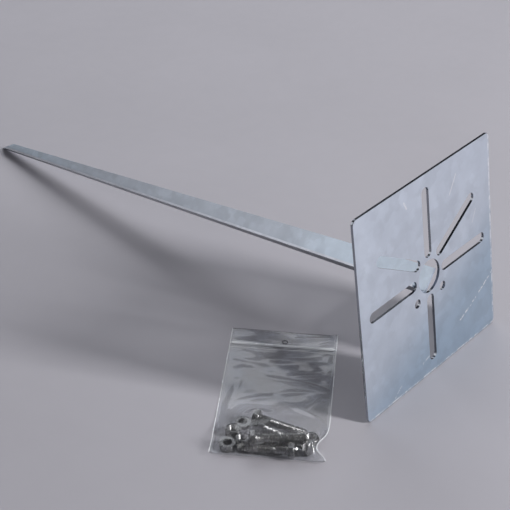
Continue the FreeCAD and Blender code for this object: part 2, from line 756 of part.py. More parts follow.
class KitLayout:
    """Where each fastener lies in the bag: places in millimetres and turns in degrees."""

    front_bolt = (14.1, 6.6, -2.0)
    right_bolt = (25.6, 11.6, -29.5)
    back_bolt = (-9.4, 37.0, 162.9)
    across_head = Vector(-9.3, 8.6, 0)
    across_end = Vector(25.1, 14.7, 0)
    flat_nuts = ((-26.0, 24.5, 25.0), (-18.6, 15.9, 0.0), (28.1, 21.9, 0.0))
    leaning_nut = (3.7, 13.7, 36.0)
    washer_stacks = ((-28.2, 10.2, 3), (-20.3, 34.3, 2), (-7.1, 16.6, 3))


def place_kit(size, bag_frame, bolts, nuts, washers):
    """Lays the fasteners in the bag's pocket and returns the spots that hold its film up."""
    pile, layout = Pile(size), KitLayout
    front = pile.lying_bolt(*layout.front_bolt)
    right = pile.lying_bolt(*layout.right_bolt)
    back = pile.lying_bolt(*layout.back_bolt)
    across = pile.bolt_across(layout.across_head, layout.across_end, front, right)
    humps = []
    for bolt, (under_head, direction) in zip(bolts, (back, across, front, right)):
        bolt.Placement = bag_frame.multiply(bolt_placement(under_head, direction))
        humps += pile.bolt_humps(under_head, direction)
    left_nut, near_nut, leaning_nut, right_nut = nuts
    for nut, (x, y, turn) in zip((left_nut, near_nut, right_nut), layout.flat_nuts):
        spot = Vector(x, y, pile.floor)
        nut.Placement = bag_frame.multiply(Placement(spot, Rotation(Z_AXIS, turn)))
        humps.append(Hump(spot, pile.flat, pile.floor + size.nut_height))
    standing = pile.standing_nut(*layout.leaning_nut)
    leaning_nut.Placement = bag_frame.multiply(standing)
    humps.append(pile.nut_hump(standing))
    places = [(x, y, level) for x, y, count in layout.washer_stacks for level in range(round(count))]
    for washer, (x, y, level) in zip(washers, places):
        spot = Vector(x, y, pile.floor + level * size.washer_thickness)
        washer.Placement = bag_frame.multiply(Placement(spot, Rotation()))
        humps.append(Hump(spot, size.washer_diameter / 2, spot.z + size.washer_thickness))
    return humps


def lean_angle(size):
    """How far the bracket tips back until the spike's point meets the floor, in degrees."""
    drop = size.plate_side / 2 - spike_point_depth(size)
    return math.degrees(math.atan(drop / (size.spike_length + size.plate_edge_break)))


def spike_point_depth(size):
    """How far the rounded bend lies below the axis at the point."""
    outer_bend = size.spike_bend_radius + size.spike_thickness
    return size.spike_tip_flange / ROOT_TWO - outer_bend * (ROOT_TWO - 1)


def bracket_placement(size):
    """Stands the bracket on its lower back edge with the spike's point on the floor."""
    lean = Rotation(X_AXIS, -lean_angle(size))
    foot = lean.multVec(Vector(0, -size.plate_edge_break, -size.plate_side / 2))
    return Placement(foot * -1, lean)


def place_weld(size, rod):
    """Lays the weld run in the corner between the plate's back and the left flange's outside."""
    bend = Vector(-size.spike_root_offset, 0, -size.spike_root_flange / ROOT_TWO)
    upward = Vector(-1, 0, 1) / ROOT_TWO
    outward = Vector(-1, 0, -1) / ROOT_TWO
    below_slot = size.slot_width / ROOT_TWO + size.weld_end_gap
    start = bend + upward * (size.spike_root_flange - below_slot)
    rod.Placement = Placement(start, Rotation(outward, Y_AXIS, upward * -1, "ZYX"))


# ---------------------------------------------------------------- run

class Values:
    """Reads the sheet's cells as plain numbers."""

    def __init__(self, sheet):
        for name in SIZES:
            setattr(self, name, float(getattr(sheet, name)))


def centre_on_origin(parts, placed):
    """Moves the placed objects so that the middle of the whole row's footprint is the origin."""
    box = FreeCAD.BoundBox()
    for part in parts:
        box.add(part.Shape.optimalBoundingBox())
    shift = Placement(Vector(-box.Center.x, -box.Center.y, -box.ZMin), Rotation())
    for item in placed:
        item.Placement = shift.multiply(item.Placement)


def check(doc, parts):
    """Stops if an object failed, a sketch is loose or a sub-part's shape is unsound."""
    for item in doc.Objects:
        if "Invalid" in item.State or "Error" in item.State:
            raise RuntimeError(f"{item.Label}: {item.State}")
        if item.TypeId == "Sketcher::SketchObject" and not item.FullyConstrained:
            raise RuntimeError(f"{item.Label} is not fully constrained")
    for part in parts:
        if part.Shape.isNull() or not part.Shape.isValid() or part.Shape.Volume <= 0:
            raise RuntimeError(f"{part.Label} has no sound shape")


def main():
    doc = FreeCAD.newDocument("GroundSpikeBracket")
    sheet = make_sheet(doc)
    size = Values(sheet)

    plate = make_plate(doc, size)
    spike = make_spike(doc)
    rod, weld = make_weld(doc, spike)
    place_weld(size, rod)
    doc.recompute()

    bolts = [make_bolt(doc, number) for number in range(1, 5)]
    nuts = [make_nut(doc, number) for number in range(1, 5)]
    washers = [make_washer(doc, number) for number in range(1, 9)]
    bag_frame = Placement(Vector(-size.bag_left_of_plate, size.bag_behind_plate, 0), Rotation(Z_AXIS, size.bag_turn))
    humps = place_kit(size, bag_frame, bolts, nuts, washers)
    envelope = make_bag(doc, size, humps)
    for item in envelope:
        item.Placement = bag_frame

    standing = bracket_placement(size)
    for item in (plate, spike, rod):
        item.Placement = standing.multiply(item.Placement)
    doc.recompute()

    kit = [*bolts, *nuts, *washers, *envelope]
    parts = [plate, spike, weld, *kit]
    centre_on_origin(parts, [plate, spike, rod, *kit])
    doc.recompute()
    check(doc, parts)
    os.makedirs("parts", exist_ok=True)
    for part in parts:
        part.Shape.exportStep(f"parts/{part.Label}.step")
        print(part.Label, round(part.Shape.Volume, 2), part.Shape.optimalBoundingBox())


main()
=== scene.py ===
"""Looks of a ground spike bracket and its fixing kit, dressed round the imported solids.

Everything is in metres in the row's own frame: the bracket stands on the lower edge of its
plate and leans back on its spike, and the zip bag lies flat on the floor beside it.
"""

from __future__ import annotations

import logging
import math
from dataclasses import dataclass, field
from enum import Enum
from typing import Sequence

import bpy
import numpy as np
from mathutils import Euler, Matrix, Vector


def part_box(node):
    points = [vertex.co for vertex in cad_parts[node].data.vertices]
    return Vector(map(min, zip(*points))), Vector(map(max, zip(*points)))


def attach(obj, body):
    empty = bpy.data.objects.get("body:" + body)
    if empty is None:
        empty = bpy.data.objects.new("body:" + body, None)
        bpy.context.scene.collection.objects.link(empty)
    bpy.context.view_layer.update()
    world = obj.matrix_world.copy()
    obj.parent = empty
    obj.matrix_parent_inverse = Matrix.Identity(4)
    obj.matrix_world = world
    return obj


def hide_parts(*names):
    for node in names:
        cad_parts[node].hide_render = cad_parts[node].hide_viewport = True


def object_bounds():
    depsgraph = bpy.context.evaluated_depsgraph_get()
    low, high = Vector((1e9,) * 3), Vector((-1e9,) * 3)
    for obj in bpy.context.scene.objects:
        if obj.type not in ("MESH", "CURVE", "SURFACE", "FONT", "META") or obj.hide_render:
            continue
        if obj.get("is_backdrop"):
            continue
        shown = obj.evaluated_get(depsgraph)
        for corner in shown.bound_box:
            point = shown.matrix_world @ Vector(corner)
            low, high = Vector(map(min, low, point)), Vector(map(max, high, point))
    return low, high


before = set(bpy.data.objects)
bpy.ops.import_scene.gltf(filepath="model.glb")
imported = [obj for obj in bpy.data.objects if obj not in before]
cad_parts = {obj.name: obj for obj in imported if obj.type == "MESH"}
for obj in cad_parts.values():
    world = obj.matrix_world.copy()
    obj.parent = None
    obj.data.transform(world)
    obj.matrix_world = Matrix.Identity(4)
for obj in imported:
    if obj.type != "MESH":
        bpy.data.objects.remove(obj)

LOG = logging.getLogger("ground_spike_bracket")
MM = 0.001
KIT_BODY = "fixing_kit"
SHARP_EDGE_ANGLE = math.radians(32)
Colour = tuple[float, float, float]
Socket = bpy.types.NodeSocket


class Slot(Enum):
    """The record's material slots."""

    FASTENER = "fastener_steel"
    FILM = "clear_film"


# ---------------------------------------------------------------- meshes from arrays


def grid_faces(rows: int, columns: int, wrap: bool = False) -> np.ndarray:
    """Corner numbers of the squares of a grid of points.

    The square at row i and column j joins points i*columns+j, the next in its row, and the two
    below them, turned so that rows x columns points out when the rows run along the first axis.

    Args:
        rows: number of rows of points.
        columns: number of points in a row.
        wrap: True if the last column is followed by the first.

    Returns:
        An array of four corner numbers for each square.
    """
    i, j = np.meshgrid(np.arange(rows - 1), np.arange(columns if wrap else columns - 1), indexing="ij")
    k = (j + 1) % columns
    corners = (i * columns + j, (i + 1) * columns + j, (i + 1) * columns + k, i * columns + k)
    return np.stack(corners, axis=-1).reshape(-1, 4)


def mesh_piece(name: str, points: np.ndarray, *faces: np.ndarray) -> bpy.types.Object:
    """Makes a smooth-shaded object at the origin from arrays of points and faces.

    Args:
        name: the piece's name.
        points: an array of places, three numbers each, in metres in the row's frame.
        faces: arrays of faces, each array with one number of corners.

    Returns:
        The new object, linked to the scene.
    """
    mesh = bpy.data.meshes.new(name)
    sizes = np.concatenate([np.full(len(part), part.shape[1]) for part in faces])
    corners = np.concatenate([part.ravel() for part in faces])
    mesh.vertices.add(len(points))
    mesh.vertices.foreach_set("co", points.astype(np.float32).ravel())
    mesh.loops.add(len(corners))
    mesh.loops.foreach_set("vertex_index", corners.astype(np.int32))
    mesh.polygons.add(len(sizes))
    mesh.polygons.foreach_set("loop_start", (np.cumsum(sizes) - sizes).astype(np.int32))
    mesh.polygons.foreach_set("use_smooth", np.full(len(sizes), True))
    mesh.update(calc_edges=True)
    mesh.validate()
    piece = bpy.data.objects.new(name, mesh)
    bpy.context.scene.collection.objects.link(piece)
    return piece


def node_points(name: str) -> np.ndarray:
    """Points of a CAD node, three numbers each, in metres in the row's frame.

    Args:
        name: the node.

    Returns:
        The points.
    """
    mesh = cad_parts[name].data
    points = np.empty(len(mesh.vertices) * 3, np.float32)
    mesh.vertices.foreach_get("co", points)
    return points.reshape(-1, 3).astype(float)


def node_triangles(name: str) -> np.ndarray:
    """Triangles of a CAD node, three points each.

    Args:
        name: the node.

    Returns:
        The corners, by triangle and then by corner.
    """
    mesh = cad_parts[name].data
    mesh.calc_loop_triangles()
    corners = np.empty(len(mesh.loop_triangles) * 3, np.int32)
    mesh.loop_triangles.foreach_get("vertices", corners)
    return node_points(name)[corners].reshape(-1, 3, 3)


def dress(node: str, material: bpy.types.Material) -> None:
    """Gives a CAD node its finish and leaves its shape alone.

    Args:
        node: the node.
        material: its finish.
    """
    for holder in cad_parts[node].material_slots:
        holder.material = material
    LOG.info("finish %s on %s", material.name, node)


def settle(piece: bpy.types.Object, slot: Slot, *nodes: str) -> bpy.types.Object:
    """Args:
        piece: the new piece.
        slot: its material slot; not used.
        nodes: the CAD nodes that it replaces; none if it only adds to them.

    Returns:
        The same piece.
    """
    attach(piece, KIT_BODY)
    if nodes:
        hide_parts(*nodes)
    LOG.info("piece %s with %d points stands for %s", piece.name, len(piece.data.vertices),
             ", ".join(nodes) or "no node")
    return piece


# ---------------------------------------------------------------- shader graphs


class Graph:
    """A shader node tree, with short ways to add nodes and join them."""

    def __init__(self, tree: bpy.types.NodeTree) -> None:
        """Starts on a tree that may already hold nodes."""
        self.tree = tree

    def node(self, kind: str, **settings: object) -> bpy.types.Node:
        """Adds a node of a kind and sets its plain settings.

        Args:
            kind: the node's type.
            settings: its settings by their names.

        Returns:
            The node.
        """
        made = self.tree.nodes.new(kind)
        for name, value in settings.items():
            setattr(made, name, value)
        return made

    def feed(self, socket: Socket, value: object) -> None:
        """Joins a socket to another, or gives it a number, vector or colour.

        Args:
            socket: the input that is fed.
            value: another socket, a plain value, or None to leave it as it is.
        """
        if isinstance(value, bpy.types.NodeSocket):
            self.tree.links.new(value, socket)
        elif value is not None:
            socket.default_value = value

    def math(self, operation: str, a: object, b: object = None, clamp: bool = False) -> Socket:
        """One Math node.

        Args:
            operation: the node's operation, such as ADD.
            a: its first number or socket.
            b: its second number or socket, or None.
            clamp: True if the answer is kept from 0 to 1.

        Returns:
            The node's output.
        """
        made = self.node("ShaderNodeMath", operation=operation, use_clamp=clamp)
        self.feed(made.inputs[0], a)
        self.feed(made.inputs[1], b)
        return made.outputs[0]

    def plus(self, a: object, b: object) -> Socket:
        """The sum of two numbers."""
        return self.math("ADD", a, b)

    def minus(self, a: object, b: object) -> Socket:
        """The first number less the second."""
        return self.math("SUBTRACT", a, b)

    def times(self, a: object, b: object) -> Socket:
        """The product of two numbers."""
        return self.math("MULTIPLY", a, b)

    def vector(self, operation: str, a: object, b: object = None) -> Socket:
        """One Vector Math node; b is a vector, or the number for SCALE.

        Args:
            operation: the node's operation.
            a: its first vector or socket.
            b: its second vector, or the number for SCALE.

        Returns:
            The node's output.
        """
        made = self.node("ShaderNodeVectorMath", operation=operation)
        self.feed(made.inputs[0], a)
        self.feed(made.inputs["Scale"] if operation == "SCALE" else made.inputs[1], b)
        return made.outputs[0]

    def parts(self, value: Socket) -> Sequence[Socket]:
        """The three numbers of a vector."""
        made = self.node("ShaderNodeSeparateXYZ")
        self.feed(made.inputs[0], value)
        return made.outputs

    def fade(self, value: object, low: object, high: object,
             start: float = 0.0, end: float = 1.0) -> Socket:
        """A smooth step from start to end as a value goes from low to high.

        Args:
            value: the number that is read.
            low: where the step starts.
            high: where the step ends.
            start: the answer below low.
            end: the answer above high.

        Returns:
            The step's output.
        """
        made = self.node("ShaderNodeMapRange", interpolation_type="SMOOTHSTEP")
        names = ("Value", "From Min", "From Max", "To Min", "To Max")
        for name, given in zip(names, (value, low, high, start, end)):
            self.feed(made.inputs[name], given)
        return made.outputs[0]

    def noise(self, vector: object, scale: object, detail: float = 2.0, roughness: float = 0.5) -> Socket:
        """Noise from 0 to 1 over a vector, with scale waves to the metre.

        Args:
            vector: the place that is read.
            scale: waves to the metre.
            detail: how many finer layers are added.
            roughness: how strong the finer layers are.

        Returns:
            The noise.
        """
        made = self.node("ShaderNodeTexNoise")
        names = ("Vector", "Scale", "Detail", "Roughness")
        for name, given in zip(names, (vector, scale, detail, roughness)):
            self.feed(made.inputs[name], given)
        return made.outputs[0]

    def blend(self, factor: object, a: object, b: object) -> Socket:
        """A colour between two colours.

        Args:
            factor: the share of the second colour.
            a: the first colour.
            b: the second colour.

        Returns:
            The blended colour.
        """
        made = self.node("ShaderNodeMix", data_type="RGBA")
        for place, given in ((0, factor), (6, a), (7, b)):
            self.feed(made.inputs[place], given)
        return made.outputs[2]

    def tint(self, colour: Colour, tone: Socket) -> Socket:
        """A colour made lighter or darker by a tone that is 1 where it stays.

        Args:
            colour: the colour.
            tone: the number that it is multiplied by.

        Returns:
            The toned colour.
        """
        made = self.node("ShaderNodeMix", data_type="RGBA", blend_type="MULTIPLY")
        made.inputs[0].default_value = 1.0
        made.inputs[6].default_value = (*colour, 1.0)
        self.feed(made.inputs[7], tone)
        return made.outputs[2]

    def bump(self, height: Socket, distance: float, strength: float = 1.0) -> Socket:
        """A normal tilted by a height, where a height of 1 stands distance metres proud.

        Args:
            height: the height, from 0 to 1.
            distance: how far a height of 1 stands proud, in metres.
            strength: the share of the tilt that is used.

        Returns:
            The normal.
        """
        made = self.node("ShaderNodeBump")
        made.inputs["Strength"].default_value = strength
        made.inputs["Distance"].default_value = distance
        self.feed(made.inputs["Height"], height)
        return made.outputs[0]

    def effect(self, tree: bpy.types.NodeTree, **values: object) -> bpy.types.Node:
        """Places a shared effect and sets its inputs by their names, with _ for a space.

        Args:
            tree: the effect's group.
            values: its inputs by their names.

        Returns:
            The placed group.
        """
        made = self.node("ShaderNodeGroup", node_tree=tree)
        for name, value in values.items():
            self.feed(made.inputs[name.replace("_", " ")], value)
        return made


class Effects:
    """The effects that several finishes share, each built once as a node group."""

    def __init__(self) -> None:
        """Builds the four groups."""
        self.spangle = self._spangle()
        self.handling = self._handling()
        self.scratch = self._scratch()
        self.rim = self._rim()

    @staticmethod
    def _begin(name: str, inputs: dict[str, float],
               outputs: Sequence[str]) -> tuple[Graph, bpy.types.Node, bpy.types.Node]:
        """An empty group with a Vector, some numbers in and some numbers out.

        Args:
            name: the group's name.
            inputs: the plain inputs and their usual values.
            outputs: the outputs' names.

        Returns:
            The group's graph, its input node and its output node.
        """
        tree = bpy.data.node_groups.new(name, "ShaderNodeTree")
        tree.interface.new_socket("Vector", in_out="INPUT", socket_type="NodeSocketVector")
        for label, value in inputs.items():
            made = tree.interface.new_socket(label, in_out="INPUT", socket_type="NodeSocketFloat")
            made.default_value = value
        for label in outputs:
            tree.interface.new_socket(label, in_out="OUTPUT", socket_type="NodeSocketFloat")
        graph = Graph(tree)
        return graph, graph.node("NodeGroupInput"), graph.node("NodeGroupOutput")

    def _spangle(self) -> bpy.types.NodeTree:
        """Zinc crystals: each cell of a warped Voronoi has its own tone, and noise blurs them.

        Returns:
            A group from a vector, a crystal size in metres and a contrast to a Tone round 1 and
            a Height from 0 to 1.
        """
        sizes = {"Crystal Size": 0.008, "Contrast": 0.1}
        graph, given, out = self._begin("zinc_spangle", sizes, ("Tone", "Height"))
        per_metre = graph.math("DIVIDE", 1.0, given.outputs["Crystal Size"])
        place = graph.vector("SCALE", given.outputs["Vector"], per_metre)
        warp = graph.node("ShaderNodeTexNoise")
        graph.feed(warp.inputs["Vector"], place)
        graph.feed(warp.inputs["Scale"], 1.4)
        graph.feed(warp.inputs["Detail"], 3.0)
        warped = graph.vector("ADD", place, graph.vector("SCALE", warp.outputs["Color"], 1.1))
        cells = graph.node("ShaderNodeTexVoronoi", feature="SMOOTH_F1")
        graph.feed(cells.inputs["Vector"], warped)
        graph.feed(cells.inputs["Scale"], 1.0)
        graph.feed(cells.inputs["Smoothness"], 0.55)
        cell = graph.parts(cells.outputs["Color"])[0]
        cloud = graph.noise(place, 0.45, 3.0, 0.6)
        both = graph.plus(graph.times(cell, 0.55), graph.times(cloud, 0.9))
        swing = graph.times(graph.minus(both, 0.725), given.outputs["Contrast"])
        graph.feed(out.inputs["Tone"], graph.plus(swing, 1.0))
        graph.feed(out.inputs["Height"], graph.times(both, 0.7))
        return graph.tree

    def _handling(self) -> bpy.types.NodeTree:
        """Wipe marks and fine dust: long soft noise and small specks.

        Returns:
            A group from a vector, a scale and an amount to a Mask from 0 to 1.
        """
        graph, given, out = self._begin("handling_marks", {"Scale": 60.0, "Amount": 0.5}, ("Mask",))
        stretched = graph.vector("MULTIPLY", given.outputs["Vector"], (1.0, 1.0, 0.35))
        smear = graph.fade(graph.noise(stretched, given.outputs["Scale"], 4.0, 0.6), 0.45, 0.75)
        fine = graph.times(given.outputs["Scale"], 14.0)
        specks = graph.fade(graph.noise(given.outputs["Vector"], fine, 1.0, 0.5), 0.68, 0.78)
        both = graph.plus(graph.times(smear, 0.7), graph.times(specks, 0.5))
        graph.feed(out.inputs["Mask"], graph.math("MULTIPLY", both, given.outputs["Amount"], clamp=True))
        return graph.tree

    def _scratch(self) -> bpy.types.NodeTree:
        """One broken scratch in the XZ plane: near a line, between its ends, where noise lets it show.

        Returns:
            A group from a vector, a middle, a turn in radians, a length, a width and a gap share
            to a Mask from 0 to 1.
        """
        sizes = {"Middle X": 0.0, "Middle Z": 0.0, "Turn": 0.0, "Length": 0.02, "Width": 0.0004, "Gaps": 0.5}
        graph, given, out = self._begin("scratch_line", sizes, ("Mask",))
        x, _, z = graph.parts(given.outputs["Vector"])
        dx = graph.minus(x, given.outputs["Middle X"])
        dz = graph.minus(z, given.outputs["Middle Z"])
        cosine = graph.math("COSINE", given.outputs["Turn"])
        sine = graph.math("SINE", given.outputs["Turn"])
        along = graph.plus(graph.times(dx, cosine), graph.times(dz, sine))
        across = graph.minus(graph.times(dz, cosine), graph.times(dx, sine))
        wave = graph.minus(graph.noise(given.outputs["Vector"], 90.0), 0.5)
        wobble = graph.times(wave, 0.0016)
        off = graph.math("ABSOLUTE", graph.plus(across, wobble))
        line = graph.fade(off, 0.0, given.outputs["Width"], 1.0, 0.0)
        half = graph.times(given.outputs["Length"], 0.5)
        ends = graph.fade(graph.math("ABSOLUTE", along), graph.times(half, 0.8), half, 1.0, 0.0)
        dashes = graph.noise(given.outputs["Vector"], 260.0, 2.0, 0.7)
        low = graph.times(given.outputs["Gaps"], 0.9)
        shown = graph.fade(dashes, low, graph.plus(low, 0.12))
        graph.feed(out.inputs["Mask"], graph.times(graph.times(line, ends), shown))
        return graph.tree

    def _rim(self) -> bpy.types.NodeTree:
        """Painted highlight along the rim of a square sheet at its foot and its right: 1 on a line a width
        inside the edge.

        Returns:
            A group from a vector centred on the sheet, its half side and a width to a Mask.
        """
        graph, given, out = self._begin("painted_rim_highlight", {"Half Side": 0.08, "Width": 0.001}, ("Mask",))
        x, _, z = graph.parts(given.outputs["Vector"])
        reach = graph.math("MAXIMUM", x, graph.times(z, -1.0))
        inside = graph.minus(given.outputs["Half Side"], reach)
        off = graph.math("ABSOLUTE", graph.minus(inside, given.outputs["Width"]))
        rim = graph.fade(off, 0.0, given.outputs["Width"], 1.0, 0.0)
        broken = graph.fade(graph.noise(given.outputs["Vector"], 140.0, 3.0, 0.6), 0.4, 0.6, 0.15, 1.0)
        graph.feed(out.inputs["Mask"], graph.times(rim, broken))
        return graph.tree


EFFECTS = Effects()


def blank_material(name: str) -> tuple[bpy.types.Material, Graph, bpy.types.Node]:
    """A material with only its output and a Principled shader.

    Args:
        name: the material's name.

    Returns:
        The material, its graph and its Principled node.
    """
    material = bpy.data.materials.new(name)
    material.use_nodes = True
    material.node_tree.nodes.clear()
    graph = Graph(material.node_tree)
    shader = graph.node("ShaderNodeBsdfPrincipled")
    out = graph.node("ShaderNodeOutputMaterial")
    graph.feed(out.inputs["Surface"], shader.outputs[0])
    return material, graph, shader


def placed_vector(graph: Graph, origin: Vector = Vector(), turn: Euler = Euler()) -> Socket:
    """Object coordinates read in a frame of their own.

    Args:
        graph: the material's graph.
        origin: where that frame's origin stands in the row's frame.
        turn: how that frame is turned.

    Returns:
        The coordinates in that frame, in metres.
    """
    coordinates = graph.node("ShaderNodeTexCoord")
    mapping = graph.node("ShaderNodeMapping", vector_type="TEXTURE")
    graph.feed(mapping.inputs["Vector"], coordinates.outputs["Object"])
    mapping.inputs["Location"].default_value = origin
    mapping.inputs["Rotation"].default_value = turn
    return mapping.outputs[0]


# ---------------------------------------------------------------- finishes


@dataclass(frozen=True)
class Scratch:
    """One scratch on the plate's face, in metres and degrees from the plate's middle."""

    across: float
    up: float
    turn: float
    length: float
    width: float
    gaps: float = 0.5
    depth: float = 0.35


@dataclass(frozen=True)
class Flat:
    """One flat face of a piece, known by its plane, with a painted tone: a painted highlight or painted
    shade.
    """

    normal: Vector
    offset: float
    colour: Colour
    reach: float = 0.0003

    def mask(self, graph: Graph, place: Socket) -> Socket:
        """1 where a place's share along the normal is the plane's offset, and 0 away from it.

        Args:
            graph: the material's graph.
            place: the coordinates in the row's frame.

        Returns:
            The mask.
        """
        lean = graph.node("ShaderNodeVectorMath", operation="DOT_PRODUCT")
        graph.feed(lean.inputs[0], place)
        graph.feed(lean.inputs[1], self.normal)
        away = graph.math("ABSOLUTE", graph.minus(lean.outputs["Value"], self.offset))
        return graph.math("LESS_THAN", away, self.reach)

    @staticmethod
    def found(node: str, towards: Vector, colour: Colour) -> "Flat":
        """Finds the outermost flat face of a CAD node that looks nearly along a direction.

        Faces within about 11 degrees of the direction are grouped by their planes, each group
        counts with its area, and the furthest group of at least a tenth of the largest is taken.

        Args:
            node: the CAD node.
            towards: the direction, in the row's frame.
            colour: the tone painted on the face, a painted highlight or painted shade.

        Returns:
            The face, with its plane in the row's frame.
        """
        triangles = node_triangles(node)
        normals = np.cross(triangles[:, 1] - triangles[:, 0], triangles[:, 2] - triangles[:, 0])
        areas = np.linalg.norm(normals, axis=1)
        normals = normals / np.maximum(areas, 1e-15)[:, None]
        offsets = (triangles.mean(1) * normals).sum(1)
        nearly_along = 0.98
        near = normals @ np.array(towards.normalized()) > nearly_along
        keys = np.round(np.column_stack((normals, offsets * 100))[near], 2)
        kinds, member = np.unique(keys, axis=0, return_inverse=True)
        extent = np.bincount(member.ravel(), areas[near], len(kinds))
        chosen = np.where(extent > extent.max() / 10, kinds[:, 3], -np.inf).argmax()
        group = member.ravel() == chosen
        normal = np.average(normals[near][group], axis=0, weights=areas[near][group])
        offset = np.average(offsets[near][group], weights=areas[near][group])
        return Flat(Vector(normal).normalized(), float(offset), colour)


@dataclass(frozen=True)
class GalvanisedFinish:
    """Zinc on rolled sheet: pale, bluish, softly mottled and scratched, with painted light and shade where a
    piece says so.

    A plate has a half side, and with it a darker tone towards its lower right that is painted shade, a
    painted highlight along its foot and right rim, its scratches and duller cut walls. A spike has a brighter
    tone near its two ends that is painted light, and flat faces with a painted highlight or painted shade.
    """

    name: str
    colour: Colour = (0.66, 0.72, 0.80)
    roughness: float = 0.36
    crystal: float = 0.009
    contrast: float = 0.24
    plate_half_side: float = 0.0
    # painted shade: a darker, bluer tone towards the plate's lower right
    lower_right_shade_colour: Colour = (0.46, 0.57, 0.68)
    low_weights: tuple[float, float] = (0.45, 0.9)
    low_reach: float = 0.06
    scratches: tuple[Scratch, ...] = ()
    # painted highlight: a pale line inside the plate's foot and right edges; the real scratches share its
    # colour
    rim_width: float = 0.0012
    scratch_and_highlight_colour: Colour = (0.97, 0.98, 1.0)
    cut_colour: Colour = (0.34, 0.36, 0.40)
    cut_roughness: float = 0.2
    cut_depth: float = 0.00097
    # painted light: a brighter tone near the spike's root and its tip
    end_light_colour: Colour | None = None
    near_end: tuple[float, float] = (0.08, 0.145)
    far_end: tuple[float, float] = (0.34, 0.45)
    flats: tuple[Flat, ...] = ()

    def material(self, origin: Vector, turn: Euler) -> bpy.types.Material:
        """Builds the finish in the bracket's own frame.

        Args:
            origin: the middle of the plate in the row's frame.
            turn: how the bracket leans.

        Returns:
            The material.
        """
        material, graph, shader = blank_material(self.name)
        place = placed_vector(graph, origin, turn)
        spangle = graph.effect(EFFECTS.spangle, Vector=place, Crystal_Size=self.crystal,
                               Contrast=self.contrast)
        marks = graph.effect(EFFECTS.handling, Vector=place, Scale=38.0, Amount=0.5).outputs["Mask"]
        tone = graph.plus(spangle.outputs["Tone"], graph.times(marks, 0.05))
        base = graph.tint(self.colour, tone)
        rough = graph.plus(self.roughness - 0.04, graph.times(marks, 0.12))
        if self.plate_half_side:
            cut = graph.math("LESS_THAN", graph.math("ABSOLUTE", graph.parts(place)[1]), self.cut_depth)
            # painted shade towards the lower right and a painted rim highlight, under the real scratches
            base = self._plate_painted_light_and_scratches(graph, place, tone, base)
            base = graph.blend(cut, base, graph.tint(self.cut_colour, tone))
            rough = graph.plus(rough, graph.times(cut, self.cut_roughness - self.roughness))
        # painted light: a brighter tone near both ends of the spike
        if self.end_light_colour:
            along = graph.parts(place)[1]
            ends = graph.plus(graph.fade(along, *self.near_end, 1.0, 0.0), graph.fade(along, *self.far_end))
            base = graph.blend(ends, base, graph.tint(self.end_light_colour, tone))
        own = placed_vector(graph)
        # painted highlight on the flange's top edge and painted shade on its outside
        for flat in self.flats:
            base = graph.blend(flat.mask(graph, own), base, graph.tint(flat.colour, tone))
        graph.feed(shader.inputs["Base Color"], base)
        shader.inputs["Metallic"].default_value = 1.0
        graph.feed(shader.inputs["Roughness"], rough)
        grain = graph.noise(place, 900.0, 3.0, 0.6)
        height = graph.plus(graph.times(spangle.outputs["Height"], 0.6), graph.times(grain, 0.25))
        graph.feed(shader.inputs["Normal"], graph.bump(height, 0.00012, 0.5))
        return material

    def _plate_painted_light_and_scratches(self, graph: Graph, place: Socket, tone: Socket, base: Socket) -> Socket:
        """A plate's darker tone towards its lower right, which is painted shade, under its scratches and its
        painted rim highlight.

        Args:
            graph: the material's graph.
            place: the coordinates in the plate's frame.
            tone: the spangle's tone.
            base: the plain zinc's colour.

        Returns:
            The colour of the worn plate.
        """
        x, _, z = graph.parts(place)
        across, up = self.low_weights
        down = graph.minus(graph.times(x, across), graph.times(z, up))
        # painted shade: darker and bluer towards the lower right
        base = graph.blend(graph.fade(down, 0.0, self.low_reach), base, graph.tint(self.lower_right_shade_colour, tone))
        # painted highlight along the foot and right rim, joined by the real scratches
        rim_highlight_and_scratches = graph.effect(EFFECTS.rim, Vector=place, Half_Side=self.plate_half_side,
                             Width=self.rim_width).outputs["Mask"]
        for scratch in self.scratches:
            mask = graph.effect(EFFECTS.scratch, Vector=place, Middle_X=scratch.across, Middle_Z=scratch.up,
                                Turn=math.radians(scratch.turn), Length=scratch.length, Width=scratch.width,
                                Gaps=scratch.gaps).outputs["Mask"]
            rim_highlight_and_scratches = graph.math("MAXIMUM", rim_highlight_and_scratches, graph.times(mask, scratch.depth))
        return graph.blend(rim_highlight_and_scratches, base, (*self.scratch_and_highlight_colour, 1.0))


@dataclass(frozen=True)
class WeldFinish:
    """Weld bead under zinc: stacked ripples along the seam and a dull, darker tone."""

    name: str = "zinc_coated_weld"
    colour: Colour = (0.46, 0.49, 0.54)
    ripple: float = 0.0011

    def material(self, origin: Vector, turn: Euler) -> bpy.types.Material:
        """Builds the finish; its ripples cross the seam, which runs up and outwards.

        Args:
            origin: the middle of the plate in the row's frame.
            turn: how the bracket leans.

        Returns:
            The material.
        """
        material, graph, shader = blank_material(self.name)
        place = placed_vector(graph, origin, turn)
        wave = graph.node("ShaderNodeTexWave", wave_type="BANDS", bands_direction="DIAGONAL")
        graph.feed(wave.inputs["Vector"], place)
        graph.feed(wave.inputs["Scale"], 0.33 / self.ripple)
        graph.feed(wave.inputs["Distortion"], 1.6)
        spangle = graph.effect(EFFECTS.spangle, Vector=place, Crystal_Size=0.003, Contrast=0.3)
        bands = graph.fade(wave.outputs["Fac"], 0.0, 1.0, 0.82, 1.06)
        tone = graph.times(spangle.outputs["Tone"], bands)
        graph.feed(shader.inputs["Base Color"], graph.tint(self.colour, tone))
        shader.inputs["Metallic"].default_value = 1.0
        graph.feed(shader.inputs["Roughness"], graph.fade(wave.outputs["Fac"], 0.0, 1.0, 0.62, 0.46))
        graph.feed(shader.inputs["Normal"], graph.bump(wave.outputs["Fac"], 0.00035))
        return material


